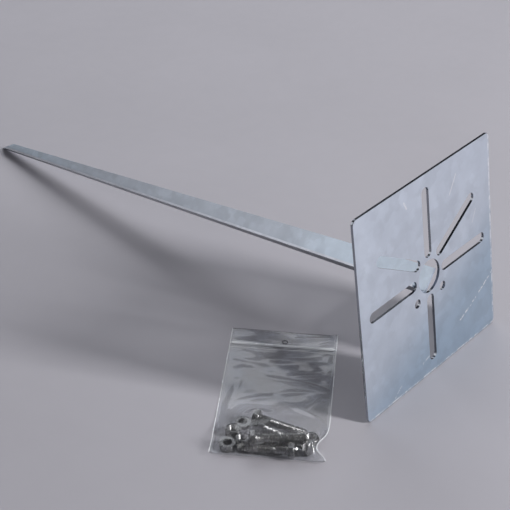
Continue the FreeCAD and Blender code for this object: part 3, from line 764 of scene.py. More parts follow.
@dataclass(frozen=True)
class BrightSteelFinish:
    """Bright zinc plate on small fasteners: shiny, a little cloudy, darker in patches."""

    name: str = "bright_plated_steel"
    colour: Colour = (0.34, 0.335, 0.335)
    roughness: float = 0.26

    def material(self) -> bpy.types.Material:
        """Builds the finish on object coordinates.

        Returns:
            The material.
        """
        material, graph, shader = blank_material(self.name)
        place = placed_vector(graph)
        spangle = graph.effect(EFFECTS.spangle, Vector=place, Crystal_Size=0.0035, Contrast=0.35)
        marks = graph.effect(EFFECTS.handling, Vector=place, Scale=220.0, Amount=0.8).outputs["Mask"]
        graph.feed(shader.inputs["Base Color"], graph.tint(self.colour, spangle.outputs["Tone"]))
        shader.inputs["Metallic"].default_value = 1.0
        rough = graph.plus(self.roughness, graph.times(marks, 0.16))
        graph.feed(shader.inputs["Roughness"], rough)
        graph.feed(shader.inputs["Normal"], graph.bump(graph.noise(place, 1500.0, 2.0), 0.00003, 0.5))
        return material


@dataclass(frozen=True)
class FilmFinish:
    """Clear polythene: glossy, nearly colourless, slightly milky where it is welded or moulded."""

    name: str
    colour: Colour = (0.88, 0.885, 0.89)
    clear: float = 0.98
    roughness: float = 0.06
    shadow: float = 0.93
    haze_colour: Colour = (0.88, 0.90, 0.93)

    def material(self) -> bpy.types.Material:
        """Builds the finish; light goes straight through it to what it shades.

        Returns:
            The material.
        """
        material, graph, shader = blank_material(self.name)
        place = placed_vector(graph)
        haze = graph.fade(graph.noise(place, 55.0, 4.0, 0.6), 0.35, 0.75)
        base = graph.blend(haze, (*self.colour, 1.0), (*self.haze_colour, 1.0))
        rough = graph.fade(haze, 0.0, 1.0, self.roughness * 0.6, self.roughness * 1.8)
        graph.feed(shader.inputs["Base Color"], base)
        graph.feed(shader.inputs["Roughness"], rough)
        shader.inputs["Transmission Weight"].default_value = self.clear
        shader.inputs["IOR"].default_value = 1.5
        ripple = graph.noise(place, 240.0, 3.0, 0.55)
        graph.feed(shader.inputs["Normal"], graph.bump(ripple, 0.0002, 0.35))
        through = graph.node("ShaderNodeBsdfTransparent")
        through.inputs["Color"].default_value = (self.shadow, self.shadow, self.shadow, 1.0)
        path = graph.node("ShaderNodeLightPath")
        choice = graph.node("ShaderNodeMixShader")
        lit = graph.math("MAXIMUM", path.outputs["Is Shadow Ray"], path.outputs["Is Diffuse Ray"])
        graph.feed(choice.inputs[0], lit)
        graph.feed(choice.inputs[1], shader.outputs[0])
        graph.feed(choice.inputs[2], through.outputs[0])
        graph.feed(graph.tree.nodes["Material Output"].inputs["Surface"], choice.outputs[0])
        return material


# ---------------------------------------------------------------- bracket


@dataclass
class Bracket:
    """The slotted plate, its tapering spike and their weld, which keep their solid shapes."""

    lean: float = math.radians(9.176)
    side: float = 160 * MM
    edge_towards: tuple[float, float, float] = (-0.70, -0.02, 0.71)
    # painted highlight on the left flange's top edge
    edge_highlight_colour: Colour = (0.74, 0.77, 0.86)
    outside_towards: tuple[float, float, float] = (-0.707, -0.092, -0.701)
    # painted shade on the left flange's outside, which faces the shadowed floor
    outside_shade_colour: Colour = (0.20, 0.21, 0.24)
    scratches: tuple[Scratch, ...] = (
        Scratch(71 * MM, -39 * MM, 30, 18 * MM, 1.1 * MM, 0.42, 1.0),
        Scratch(57 * MM, -46 * MM, 27, 20 * MM, 1.1 * MM, 0.46, 1.0),
        Scratch(41 * MM, -53 * MM, 22, 14 * MM, 1.3 * MM, 0.42, 1.0),
        Scratch(33 * MM, 58 * MM, 56, 18 * MM, 0.9 * MM, 0.3, 0.8),
        Scratch(-23 * MM, 66 * MM, 115, 8 * MM, 1.2 * MM, 0.3, 0.7),
        Scratch(-9 * MM, -66 * MM, 15, 10 * MM, 1.1 * MM, 0.35, 0.7),
        Scratch(58 * MM, 22 * MM, 62, 12 * MM, 0.9 * MM, 0.4, 0.5),
        Scratch(-44 * MM, -74 * MM, 34, 12 * MM, 1.0 * MM, 0.4, 0.6),
    )

    def dress(self) -> None:
        """Puts the zinc and weld finishes on the three welded pieces."""
        low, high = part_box("mounting_plate")
        middle = (low + high) / 2
        turn = Euler((-self.lean, 0, 0))
        plate = GalvanisedFinish("galvanised_plate", scratches=self.scratches, plate_half_side=self.side / 2)
        # a painted highlight on the flange's top edge and painted shade on its outside
        flats = (
            Flat.found("spike", Vector(self.edge_towards), self.edge_highlight_colour),
            Flat.found("spike", Vector(self.outside_towards), self.outside_shade_colour),
        )
        # the spike's brighter ends are painted light
        spike = GalvanisedFinish("galvanised_spike", colour=(0.56, 0.605, 0.69), roughness=0.4, crystal=0.007,
                                 contrast=0.26, end_light_colour=(0.68, 0.77, 0.89), flats=flats)
        for node, finish in (("mounting_plate", plate), ("spike", spike), ("weld_bead", WeldFinish())):
            dress(node, finish.material(middle, turn))


# ---------------------------------------------------------------- fasteners


@dataclass(frozen=True)
class HexForm:
    """Sizes that the bolts and nuts share."""

    across_flats: float = 10.0 * MM
    thread: float = 6.0 * MM
    root: float = 4.9 * MM
    pitch: float = 1.0 * MM
    crown: float = 4.75 * MM
    crown_depth: float = 0.62 * MM
    crown_slope: float = math.tan(math.radians(60))
    columns: int = 48
    rows_per_turn: int = 6

    def angles(self) -> np.ndarray:
        """Directions round the axis, with a corner of the hexagon at the first."""
        return np.arange(self.columns) * (2 * math.pi / self.columns)

    def hexagon(self) -> np.ndarray:
        """Distance to a hexagon's side: half the flats over the cosine from the side's middle."""
        turn = np.mod(self.angles(), math.pi / 3) - math.pi / 6
        return self.across_flats / 2 / np.cos(turn)

    def crowned(self, below: np.ndarray) -> np.ndarray:
        """The hexagon cut by a cone that widens with the depth below a crowned face.

        Args:
            below: depths below the face, one for each row.

        Returns:
            Radii, one row for each depth.
        """
        cone = self.crown + below[:, None] * self.crown_slope
        return np.minimum(self.hexagon()[None, :], cone)

    def helix(self, along: np.ndarray) -> np.ndarray:
        """Depth of a thread from 0 at its crest to 1 at its root, a rounded triangle wave.

        The wave's phase is the way along the axis over the pitch plus the turn round it.

        Args:
            along: places along the axis, one for each row.

        Returns:
            Depths, one row for each place.
        """
        phase = along[:, None] / self.pitch + self.angles()[None, :] / (2 * math.pi)
        wave = np.abs(2 * np.mod(phase, 1.0) - 1)
        return np.clip(1.25 * wave - 0.12, 0, 1)


def lathe_points(radii: np.ndarray, along: np.ndarray, angles: np.ndarray) -> np.ndarray:
    """Points at a radius and a height for each row and angle round the local Z axis.

    Args:
        radii: one row of radii for each height.
        along: the heights.
        angles: the angles of the columns.

    Returns:
        The points, row by row.
    """
    heights = np.broadcast_to(along[:, None], radii.shape)
    return np.stack((radii * np.cos(angles), radii * np.sin(angles), heights), axis=-1).reshape(-1, 3)


def carried(points: np.ndarray, origin: np.ndarray, axes: np.ndarray) -> np.ndarray:
    """Local points moved to their place: the axes' rows are the local axes in the row's frame."""
    return origin + points @ axes


@dataclass(frozen=True)
class Lie:
    """Where a fastener lies: its origin and its three axes as rows."""

    origin: np.ndarray
    axes: np.ndarray

    @staticmethod
    def found(axis: np.ndarray, points: np.ndarray, middle: np.ndarray, origin: np.ndarray) -> "Lie":
        """A lie with its Z along an axis and its X towards the point that is furthest from the axis.

        Args:
            axis: the direction of local Z.
            points: the hexagon's points.
            middle: a place on the axis.
            origin: the local origin.

        Returns:
            The lie.
        """
        away = points - middle
        away = away - np.outer(away @ axis, axis)
        corner = away[np.linalg.norm(away, axis=1).argmax()]
        z = axis / np.linalg.norm(axis)
        x = corner - z * (corner @ z)
        x = x / np.linalg.norm(x)
        return Lie(origin, np.stack((x, np.cross(z, x), z)))


@dataclass
class HexBolt:
    """A partly threaded hexagon bolt with a crowned head."""

    number: int
    form: HexForm = field(default_factory=HexForm)
    length: float = 35 * MM
    head: float = 4.0 * MM
    threaded: float = 26 * MM
    end_chamfer: float = 0.7 * MM
    under_bevel: float = 0.15 * MM
    bearing: float = 4.4 * MM
    neck: float = 0.25 * MM

    def lie(self) -> Lie:
        """Finds how the solid lies: its axis runs from the shank's end ring to the head's top ring.

        Returns:
            A lie whose origin is under the head, with Z out of the head's top.
        """
        ring_depth = 0.2 * MM
        points = np.unique(np.round(node_points(f"hex_bolt_{self.number}"), 7), axis=0)
        axis = np.linalg.svd(points - points.mean(0))[2][0]
        for _ in range(3):
            along = points @ axis
            first = points[along < along.min() + ring_depth]
            last = points[along > along.max() - ring_depth]
            axis = last.mean(0) - first.mean(0)
            axis = axis / np.linalg.norm(axis)
        spread = [np.linalg.norm(ring - ring.mean(0), axis=1).max() for ring in (first, last)]
        top, axis = (last.mean(0), axis) if spread[1] > spread[0] else (first.mean(0), -axis)
        return Lie.found(axis, points, top, top - axis * self.head)

    def build(self, material: bpy.types.Material) -> bpy.types.Object:
        """Carries a profile round the axis: crown, hexagon, under face, shank, thread and end.

        Every row is a radius as a function of the angle. The head's rows are the hexagon cut by
        the crown's cone. The thread's rows are the crest radius less the helix's depth, eased in
        over a turn and cut by the end's cone.

        Args:
            material: the bolt's finish.

        Returns:
            The piece.
        """
        form, columns = self.form, self.form.columns
        shank = self.length - self.threaded
        crest, depth = form.thread / 2, (form.thread - form.root) / 2
        below = np.concatenate((np.linspace(0, form.crown_depth, 9), [self.head - self.under_bevel]))
        head = form.crowned(below)
        under = np.minimum(form.hexagon() * 0.985, form.across_flats / 2 * 1.1)[None, :]
        plain = np.array([0.0, 0.0, -0.4 * MM, -shank + 1.0 * MM])
        plain_radii = np.array([self.bearing, crest + self.neck, crest, crest])
        plain_radii = plain_radii[:, None] * np.ones((1, columns))
        steps = int(round(self.threaded / form.pitch * form.rows_per_turn))
        screw = -shank - np.linspace(0, self.threaded, steps + 1)
        ease = np.clip((-screw - shank) / form.pitch, 0, 1)[:, None]
        end = np.clip((screw + self.length) / MM, 0, 1)[:, None]
        cut = crest - self.end_chamfer + end * MM
        screw_radii = np.minimum(crest - depth * ease * form.helix(screw), cut)
        heights = np.concatenate(([self.head], self.head - below, [0.0], plain, screw, [-self.length]))
        pole = np.full((1, columns), 1e-6)
        radii = np.concatenate((pole, head, under, plain_radii, screw_radii, pole))
        lie = self.lie()
        points = carried(lathe_points(radii, heights, form.angles()), lie.origin, lie.axes)
        piece = closed_lathe(f"bolt_{self.number}", points, len(heights), columns)
        return finished_fastener(piece, material, f"hex_bolt_{self.number}")


def closed_lathe(name: str, points: np.ndarray, rows: int, columns: int) -> bpy.types.Object:
    """A lathe surface whose first and last rows shrink to one point each.

    Args:
        name: the piece's name.
        points: the rows of points; the first and last rows stand on the axis.
        rows: the number of rows.
        columns: the points in a row.

    Returns:
        The closed piece.
    """
    poles = np.stack((points[:columns].mean(0), points[-columns:].mean(0)))
    body = points[columns:-columns]
    faces = grid_faces(rows - 2, columns, wrap=True)
    ring = np.arange(columns)
    following = (ring + 1) % columns
    last = (rows - 3) * columns
    first_pole, last_pole = len(body), len(body) + 1
    cap = np.stack((np.full(columns, first_pole), ring, following), axis=-1)
    foot = np.stack((np.full(columns, last_pole), last + following, last + ring), axis=-1)
    return mesh_piece(name, np.concatenate((body, poles)), faces, cap, foot)


def finished_fastener(piece: bpy.types.Object, material: bpy.types.Material, node: str) -> bpy.types.Object:
    """Gives a bolt or a nut its finish and its sharp edges, and lets it stand for its CAD node.

    Args:
        piece: the new bolt or nut.
        material: its finish.
        node: the CAD node.

    Returns:
        The same piece.
    """
    piece.data.materials.append(material)
    piece.data.set_sharp_from_angle(angle=SHARP_EDGE_ANGLE)
    return settle(piece, Slot.FASTENER, node)


@dataclass
class HexNut:
    """A hexagon nut, crowned on both faces, with a threaded bore."""

    number: int
    form: HexForm = field(default_factory=HexForm)
    height: float = 5.0 * MM
    lead_in: float = 0.6 * MM
    lead_room: float = 0.15 * MM
    thread_depth: float = 0.45 * MM

    def lie(self) -> Lie:
        """Finds how the solid lies: its axis is the direction in which its outer points spread least.

        Returns:
            A lie whose origin is the nut's middle.
        """
        beyond_bore = 4.2 * MM
        points = np.unique(np.round(node_points(f"hex_nut_{self.number}"), 7), axis=0)
        rough = (points.min(0) + points.max(0)) / 2
        outer = points[np.linalg.norm(points - rough, axis=1) > beyond_bore]
        basis = np.linalg.svd(outer - outer.mean(0))[2]
        shown = points @ basis.T
        middle = (shown.min(0) + shown.max(0)) / 2 @ basis
        axis = basis[2]
        return Lie.found(axis, outer, middle, middle)

    def build(self, material: bpy.types.Material) -> bpy.types.Object:
        """Carries a closed profile round the axis: its crowned outside, then its threaded bore.

        The bore's radius is the root's, and the helix cuts it outwards. Within a lead-in of both
        faces it goes over into a cone that is a little wider than the thread.

        Args:
            material: the nut's finish.

        Returns:
            The piece.
        """
        form, half = self.form, self.height / 2
        below = np.linspace(0, form.crown_depth, 8)
        side = form.crowned(below)
        bore = np.linspace(-half, half, int(round(self.height / form.pitch * form.rows_per_turn)) + 1)
        lead = np.clip((half - np.abs(bore)) / self.lead_in, 0, 1)[:, None]
        inner = form.root / 2 + (1 - form.helix(bore)) * self.thread_depth
        inner = inner * lead + (1 - lead) * (form.thread / 2 + self.lead_room)
        heights = np.concatenate((half - below, -half + below[::-1], bore))
        radii = np.concatenate((side, side[::-1], inner))
        lie = self.lie()
        points = carried(lathe_points(radii, heights, form.angles()), lie.origin, lie.axes)
        rows = len(heights)
        ring = np.arange(form.columns)
        following = (ring + 1) % form.columns
        last = (rows - 1) * form.columns
        seam = np.stack((last + ring, ring, following, last + following), axis=-1)
        piece = mesh_piece(f"nut_{self.number}", points, grid_faces(rows, form.columns, wrap=True), seam)
        return finished_fastener(piece, material, f"hex_nut_{self.number}")


# ---------------------------------------------------------------- zip bag


def smooth_step(share: np.ndarray) -> np.ndarray:
    """The share's square times 3 less twice the share, with the share kept from 0 to 1."""
    kept = np.clip(share, 0, 1)
    return kept * kept * (3 - 2 * kept)


@dataclass(frozen=True)
class Crease:
    """A soft ridge in the film, in millimetres and degrees in the bag's own frame."""

    x: float
    y: float
    turn: float
    length: float
    width: float
    rise: float

    def lift(self, x: np.ndarray, y: np.ndarray) -> np.ndarray:
        """Rise times a bell across the ridge and a wider bell along it, in millimetres.

        Args:
            x: places along X.
            y: places along Y.

        Returns:
            The lifts at those places.
        """
        angle = math.radians(self.turn)
        along = (x - self.x) * math.cos(angle) + (y - self.y) * math.sin(angle)
        across = (y - self.y) * math.cos(angle) - (x - self.x) * math.sin(angle)
        return self.rise * np.exp(-((across / self.width) ** 2) - (along / self.length) ** 2)


@dataclass
class ZipBag:
    """The clear bag: one film folded at its bottom, sealed at its sides, with a zip near its mouth.

    Its own frame has the bottom fold's middle at its origin, X along the fold and Y to the mouth.
    Lengths in its fields and its methods are in millimetres, and its turn is in radians.
    """

    kit: tuple[str, ...]
    turn: float = math.radians(-55)
    width: float = 80.0
    length: float = 142.5
    film: float = 0.12
    seal: float = 2.0
    zip_at: float = 125.0
    zip_width: float = 3.0
    fold_lift: float = 3.2
    fold_depth: float = 3.4
    hole_across: float = 1.0
    hole_at: float = 130.5
    hole: float = 2.0
    step: float = 0.5
    over_kit: float = 0.35
    least_height: float = 0.5
    tightenings: int = 260
    hump_height: float = 9.0
    hump_at: float = 22.0
    hump_spread: float = 24.0
    hump_foot: float = 0.9
    left_pull: float = 0.5
    right_pull: float = 7.4
    pull_at: float = 13.0
    pull_spread_below: float = 8.0
    pull_spread_above: float = 14.0
    edge_least: float = 0.35
    edge_lift: float = 3.6
    edge_lift_to: float = 16.0
    edge_lift_spread: float = 12.0
    left_curl: float = 0.4
    right_curl: float = 1.2
    curl_from: float = 126.0
    curl_length: float = 16.0
    upper_least: float = 0.42
    lower_least: float = 0.1
    half_seal_gap: float = 0.08
    fold_sharpness: float = 1.5
    creases: tuple[Crease, ...] = (
        Crease(8, 108, 4, 26, 3.0, 0.9),
        Crease(-22, 104, -12, 18, 2.6, 0.8),
        Crease(22, 92, 10, 14, 2.4, 1.1),
        Crease(6, 84, -8, 16, 3.0, 1.0),
        Crease(26, 80, -14, 13, 2.0, 1.2),
        Crease(14, 72, 12, 13, 2.4, 0.9),
        Crease(30, 62, 60, 10, 2.0, 1.2),
        Crease(-30, 70, 84, 22, 3.5, 1.0),
        Crease(-12, 62, 20, 14, 3.0, 1.0),
        Crease(24, 48, -30, 12, 2.0, 1.0),
        Crease(-34, 6, 40, 6, 1.0, 2.6),
        Crease(34, 6, -50, 6, 1.0, 2.8),
        Crease(30, 9, -78, 6, 1.0, 2.4),
        Crease(24, 136, 8, 14, 2.2, 1.6),
        Crease(34, 131, 30, 8, 1.8, 1.2),
    )

    def frame_of(self) -> tuple[np.ndarray, np.ndarray]:
        """The bag's frame: its middle is the middle of its solid's box.

        Returns:
            Its origin in metres, and its axes as rows.
        """
        low, high = (np.array(corner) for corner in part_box("bag_film"))
        across = np.array((math.cos(self.turn), math.sin(self.turn), 0.0))
        along = np.array((-math.sin(self.turn), math.cos(self.turn), 0.0))
        middle = (low + high) / 2
        origin = middle - along * self.length * MM / 2
        origin[2] = low[2]
        return origin, np.stack((across, along, (0.0, 0.0, 1.0)))

    def pile(self) -> np.ndarray:
        """Returns:
            The heights, by X and then by Y.
        """
        origin, axes = self.frame_of()
        samples = np.linspace(0, 1, 14)
        a, b = np.meshgrid(samples, samples)
        shares = np.stack((a, b, 1 - a - b), axis=-1)[a + b <= 1.0001]
        triangles = np.concatenate([node_triangles(name) for name in self.kit])
        points = np.einsum("sk,tkc->tsc", shares, triangles).reshape(-1, 3)
        local = (points - origin) @ axes.T / MM
        columns = np.rint((local[:, 0] + self.width / 2) / self.step).astype(int)
        rows = np.rint(local[:, 1] / self.step).astype(int)
        top = np.zeros((int(self.width / self.step) + 1, int(self.length / self.step) + 1))
        inside = (columns >= 0) & (columns < top.shape[0]) & (rows >= 0) & (rows < top.shape[1])
        np.maximum.at(top, (columns[inside], rows[inside]), local[inside, 2])
        return top

    def side(self, y: np.ndarray, right: bool) -> np.ndarray:
        """Args:
            y: ways along the bag.
            right: True for the right edge.

        Returns:
            Half widths, one for each way.
        """
        pull = self.right_pull if right else self.left_pull
        spread = np.where(y > self.pull_at, self.pull_spread_above, self.pull_spread_below)
        return self.width / 2 - pull * np.exp(-(((y - self.pull_at) / spread) ** 2))

    def edge_height(self, y: np.ndarray, right: bool) -> np.ndarray:
        """Args:
            y: ways along the bag.
            right: True for the right edge.

        Returns:
            Heights, one for each way.
        """
        beyond_kit = np.clip(y - self.edge_lift_to, 0, None)
        beside = self.edge_lift * np.exp(-((beyond_kit / self.edge_lift_spread) ** 2))
        curl = self.right_curl if right else self.left_curl
        mouth = curl * np.clip((y - self.curl_from) / self.curl_length, 0, 1) ** 2
        return self.edge_least + beside + mouth

    def drape(self) -> np.ndarray:
        """Upper film over the pile, in millimetres, by X and then by Y.

        Returns:
            The film's height.
        """
        top = self.pile()
        obstacle = top.copy()
        for shift in (-1, 1):
            for axis in (0, 1):
                obstacle = np.maximum(obstacle, np.roll(top, shift, axis))
        obstacle = np.where(obstacle > 0, obstacle + self.over_kit, self.least_height)
        x = np.arange(top.shape[0]) * self.step - self.width / 2
        y = np.arange(top.shape[1]) * self.step
        right = x[:, None] > 0
        reach = np.where(right, self.side(y, True)[None, :], self.side(y, False)[None, :])
        edge = np.where(right, self.edge_height(y, True)[None, :], self.edge_height(y, False)[None, :])
        held = (np.abs(x)[:, None] >= reach - self.seal) | (y[None, :] < 1.0)
        hump = self.hump_height * np.exp(-(((y[None, :] - self.hump_at) / self.hump_spread) ** 2))
        start = hump * (1 - np.clip(np.abs(x)[:, None] / reach, 0, 1) ** 4) + self.hump_foot
        film = np.where(held, edge, np.maximum(start, obstacle))
        for _ in range(self.tightenings):
            mean = film.copy()
            mean[1:-1, 1:-1] = (film[2:, 1:-1] + film[:-2, 1:-1] + film[1:-1, 2:] + film[1:-1, :-2]) / 4
            mean[:, -1] = mean[:, -2]
            film = np.where(held, edge, np.maximum(mean, obstacle))
        return film

    def read(self, film: np.ndarray, x: np.ndarray, y: np.ndarray) -> np.ndarray:
        """Reads the drape between its points, in proportion to the distances from the four round each place.

        Args:
            film: the drape, by X and then by Y.
            x: places along X in millimetres.
            y: places along Y in millimetres.

        Returns:
            The heights at those places.
        """
        i = np.clip((x + self.width / 2) / self.step, 0, film.shape[0] - 1.001)
        j = np.clip(y / self.step, 0, film.shape[1] - 1.001)
        a, b = np.floor(i).astype(int), np.floor(j).astype(int)
        s, t = i - a, j - b
        near = film[a, b] * (1 - s) + film[a + 1, b] * s
        far = film[a, b + 1] * (1 - s) + film[a + 1, b + 1] * s
        return near * (1 - t) + far * t

    def ripples(self, x: np.ndarray, y: np.ndarray) -> np.ndarray:
        """Args:
            x: places along X.
            y: places along Y.

        Returns:
            The lifts at those places.
        """
        swell = sum(crease.lift(x, y) for crease in self.creases)
        generator = np.random.default_rng(7)
        waves = generator.uniform((-0.22, 0.10, 0.0), (0.22, 0.42, 2 * math.pi), (14, 3))
        phase = x[..., None] * waves[:, 0] + y[..., None] * waves[:, 1] + waves[:, 2]
        slow = 0.10 * np.sin(phase).sum(-1)
        return swell + slow * np.clip((y - 30) / 25, 0.15, 1)

    def sheets(self, along: np.ndarray, across: np.ndarray,
               film: np.ndarray) -> tuple[np.ndarray, np.ndarray]:
        """Upper and lower films as grids of points in the bag's frame.

        A point's X is its share of the way between the sealed edges, its Y is the way along the
        bag, and its Z is the drape with the ripples for the upper film, or the floor that curls
        up to the seal and to the fold for the lower one.

        Args:
            along: ways along the bag in millimetres.
            across: shares of the width from -1 to 1.
            film: the drape.

        Returns:
            The two grids, by way along and then by share, three numbers each.
        """
        y, share = np.meshgrid(along, across, indexing="ij")
        reach = np.where(share > 0, self.side(y, True), self.side(y, False))
        edge = np.where(share > 0, self.edge_height(y, True), self.edge_height(y, False))
        x = share * reach
        from_edge = reach - np.abs(x)
        ease = smooth_step((from_edge - self.seal * 0.6) / 5.0)
        near_fold = np.clip(y / 6.0, 0, 1)
        near_zip = 1 - 0.75 * np.exp(-(((y - self.zip_at) / self.zip_width) ** 2))
        upper = self.read(film, x, y) + self.ripples(x, y) * ease * near_fold * near_zip
        seal = smooth_step(from_edge / self.seal)
        upper = np.maximum(upper, self.upper_least)
        upper = upper * seal + (edge + self.half_seal_gap) * (1 - seal)
        to_fold = np.clip(1 - y / self.fold_depth, 0, 1)
        lower = self.lower_least + self.fold_lift * to_fold ** self.fold_sharpness
        lower = lower * seal + (edge - self.half_seal_gap) * (1 - seal)
        return np.stack((x, y, upper), axis=-1), np.stack((x, y, lower), axis=-1)

    def placed(self, name: str, points: np.ndarray, *faces: np.ndarray) -> bpy.types.Object:
        """Makes a piece from points in the bag's frame, in millimetres.

        Args:
            name: the piece's name.
            points: its points.
            faces: its faces.

        Returns:
            The piece.
        """
        origin, axes = self.frame_of()
        return mesh_piece(name, carried(points * MM, origin, axes), *faces)

    def build_film(self, film: np.ndarray, clear: bpy.types.Material) -> bpy.types.Object:
        """One folded sheet with a thickness: the upper film from the mouth to the fold, then the lower.

        The hang hole is a ring of points pushed out to its circle, with the squares inside it
        left out. The points stand closer together towards the sides, along a sine.

        Args:
            film: the drape.
            clear: the film's finish.

        Returns:
            The piece.
        """
        side_packing = 0.43 * math.pi
        across = np.sin(np.linspace(-1, 1, 109) * side_packing) / math.sin(side_packing)
        by_fold = 9
        along = np.concatenate((np.linspace(0, 6, by_fold + 1)[:-1], np.linspace(6, self.length, 150)))
        coarse = np.concatenate((along[:by_fold], along[by_fold::2]))
        coarse[-1] = self.length
        upper, _ = self.sheets(along, across, film)
        _, lower = self.sheets(coarse, across, film)
        rows = np.concatenate((upper[::-1], lower))
        points = rows.reshape(-1, 3)
        middle = np.array((self.hole_across, self.hole_at))
        away = points[:, :2] - middle
        gap = np.linalg.norm(away, axis=1)
        inside = gap < self.hole
        points[inside, :2] = middle + away[inside] / np.maximum(gap[inside, None], 1e-6) * self.hole
        faces = grid_faces(rows.shape[0], rows.shape[1])
        faces = faces[~inside[faces].all(axis=1)]
        used, place = np.unique(faces, return_inverse=True)
        sheet = self.placed("clear_zip_bag", points[used], place.reshape(faces.shape))
        wall = sheet.modifiers.new("film_thickness", "SOLIDIFY")
        wall.thickness = self.film * MM
        wall.offset = 0.0
        sheet.data.materials.append(clear)
        return settle(sheet, Slot.FILM, "bag_film")

    @staticmethod
    def bead(line: np.ndarray, radius: float, flat: float = 0.6) -> tuple[np.ndarray, np.ndarray]:
        """A thin tube of oval section along a line, in the bag's frame.

        A ring's points are the line's point plus the radius times the cosine across and the
        radius times the flatness times the sine upwards.

        Args:
            line: the line's points.
            radius: half of its width.
            flat: its height over its width.

        Returns:
            The tube's points and faces.
        """
        angles = np.arange(8) * math.pi / 4
        ahead = np.gradient(line, axis=0)
        sideways = np.stack((ahead[:, 1], -ahead[:, 0], np.zeros(len(line))), axis=-1)
        sideways = sideways / np.linalg.norm(sideways, axis=1, keepdims=True)
        up = np.array((0.0, 0.0, 1.0))
        rings = line[:, None] + radius * (np.cos(angles)[None, :, None] * sideways[:, None]
                                          + flat * np.sin(angles)[None, :, None] * up)
        return rings.reshape(-1, 3), grid_faces(len(line), len(angles), wrap=True)

    def build_seals(self, film: np.ndarray, milky: bpy.types.Material) -> bpy.types.Object:
        """Melted beads along both side seals, and the crests of the pressed zip.

        Args:
            film: the drape.
            milky: the seals' finish.

        Returns:
            The piece.
        """
        along = np.linspace(0.2, self.length - 0.2, 120)
        upper, _ = self.sheets(along, np.array((-1.0, 1.0)), film)
        side_drop = np.array((0, 0, self.half_seal_gap))
        lines = [(upper[:, index] - side_drop, 0.32) for index in (0, 1)]
        across = np.linspace(-0.99, 0.99, 90)
        crest_rise = np.array((0, 0, 0.25))
        for beyond_zip, radius in ((0.0, 0.55), (-5.2, 0.16)):
            crest, _ = self.sheets(np.array((self.zip_at + beyond_zip,)), across, film)
            lines.append((crest[0] + crest_rise, radius))
        points, faces, count = [], [], 0
        for line, radius in lines:
            ring_points, ring_faces = self.bead(line, radius)
            points.append(ring_points)
            faces.append(ring_faces + count)
            count += len(ring_points)
        piece = self.placed("bag_side_seals", np.concatenate(points), np.concatenate(faces))
        piece.data.materials.append(milky)
        return settle(piece, Slot.FILM)

    def build_hole_rim(self, film: np.ndarray, cut: bpy.types.Material) -> bpy.types.Object:
        """The hang hole's rim, a real edge of the film: a flat bead along a circle on the upper film, dark
        grey as painted shade for the hole's shaded edge and the floor's contact shadow under it.

        Args:
            film: the drape.
            cut: the rim's finish, a dark grey painted shade.

        Returns:
            The piece.
        """
        around = np.linspace(0, 2 * math.pi, 41)
        centre, _ = self.sheets(np.array((self.hole_at,)), np.array((0.0, 0.05)), film)
        height = centre[..., 2].max() - 0.1
        radius = self.hole * 0.94
        circle = np.stack((self.hole_across + radius * np.cos(around), self.hole_at + radius * np.sin(around),
                           np.full_like(around, height)), axis=-1)
        piece = self.placed("hang_hole_shade_rim", *self.bead(circle, 0.42, 0.9))
        piece.data.materials.append(cut)
        return settle(piece, Slot.FILM)

    def build(self) -> None:
        """Builds the film, its seals, its hang hole's rim and its zip."""
        pale = (0.95, 0.96, 0.98)
        clear = FilmFinish("clear_polythene")
        sealed = FilmFinish("sealed_polythene", pale, clear=0.35, roughness=0.25, shadow=0.8)
        pressed = FilmFinish("zip_polythene", pale, clear=0.6, roughness=0.16, shadow=0.85)
        # painted shade: a dark grey for the hang hole's rim
        hole_shade = FilmFinish("hole_shade_polythene", (0.42, 0.42, 0.44), clear=0.7, roughness=0.3, shadow=0.75)
        film = self.drape()
        self.build_film(film, clear.material())
        self.build_seals(film, sealed.material())
        self.build_hole_rim(film, hole_shade.material())
        zip_finish = pressed.material()
        for node in ("zip_rib", "zip_channel"):
            dress(node, zip_finish)


@dataclass
class FixingKit:
    """Four bolts, four nuts, eight washers and the bag that holds them."""

    bolts: int = 4
    nuts: int = 4
    washers: int = 8

    def nodes(self) -> tuple[str, ...]:
        """The CAD nodes of everything in the bag."""
        counts = (("hex_bolt", self.bolts), ("hex_nut", self.nuts), ("flat_washer", self.washers))
        return tuple(f"{name}_{number}" for name, count in counts for number in range(1, count + 1))

    def build(self) -> None:
        """Builds the threaded pieces, dresses the washers and lays the bag over all."""
        bright = BrightSteelFinish().material()
        for number in range(1, self.bolts + 1):
            HexBolt(number).build(bright)
        for number in range(1, self.nuts + 1):
            HexNut(number).build(bright)
        for number in range(1, self.washers + 1):
            dress(f"flat_washer_{number}", bright)
        ZipBag(self.nodes()).build()


# ---------------------------------------------------------------- studio


@dataclass(frozen=True)
class SoftLight:
    """A rectangular soft light that looks at the object."""

    name: str
    direction: tuple[float, float, float]
    distance: float
    size: tuple[float, float]
    power: float
    colour: Colour = (1.0, 1.0, 1.0)
    mirrored: bool = True

    def build(self, target: Vector) -> None:
        """Places the light from the target along its direction and turns it to face the target.

        Args:
            target: the place that it looks at.
        """
        lamp = bpy.data.lights.new(self.name, "AREA")
        lamp.shape = "RECTANGLE"
        lamp.size, lamp.size_y = self.size
        lamp.energy = self.power
        lamp.color = self.colour
        holder = bpy.data.objects.new(self.name, lamp)
        towards = Vector(self.direction).normalized()
        holder.location = target + towards * self.distance
        holder.rotation_euler = towards.to_track_quat("Z", "Y").to_euler()
        holder.visible_glossy = self.mirrored
        holder.visible_transmission = self.mirrored
        bpy.context.scene.collection.objects.link(holder)
        LOG.info("light %s", self.name)


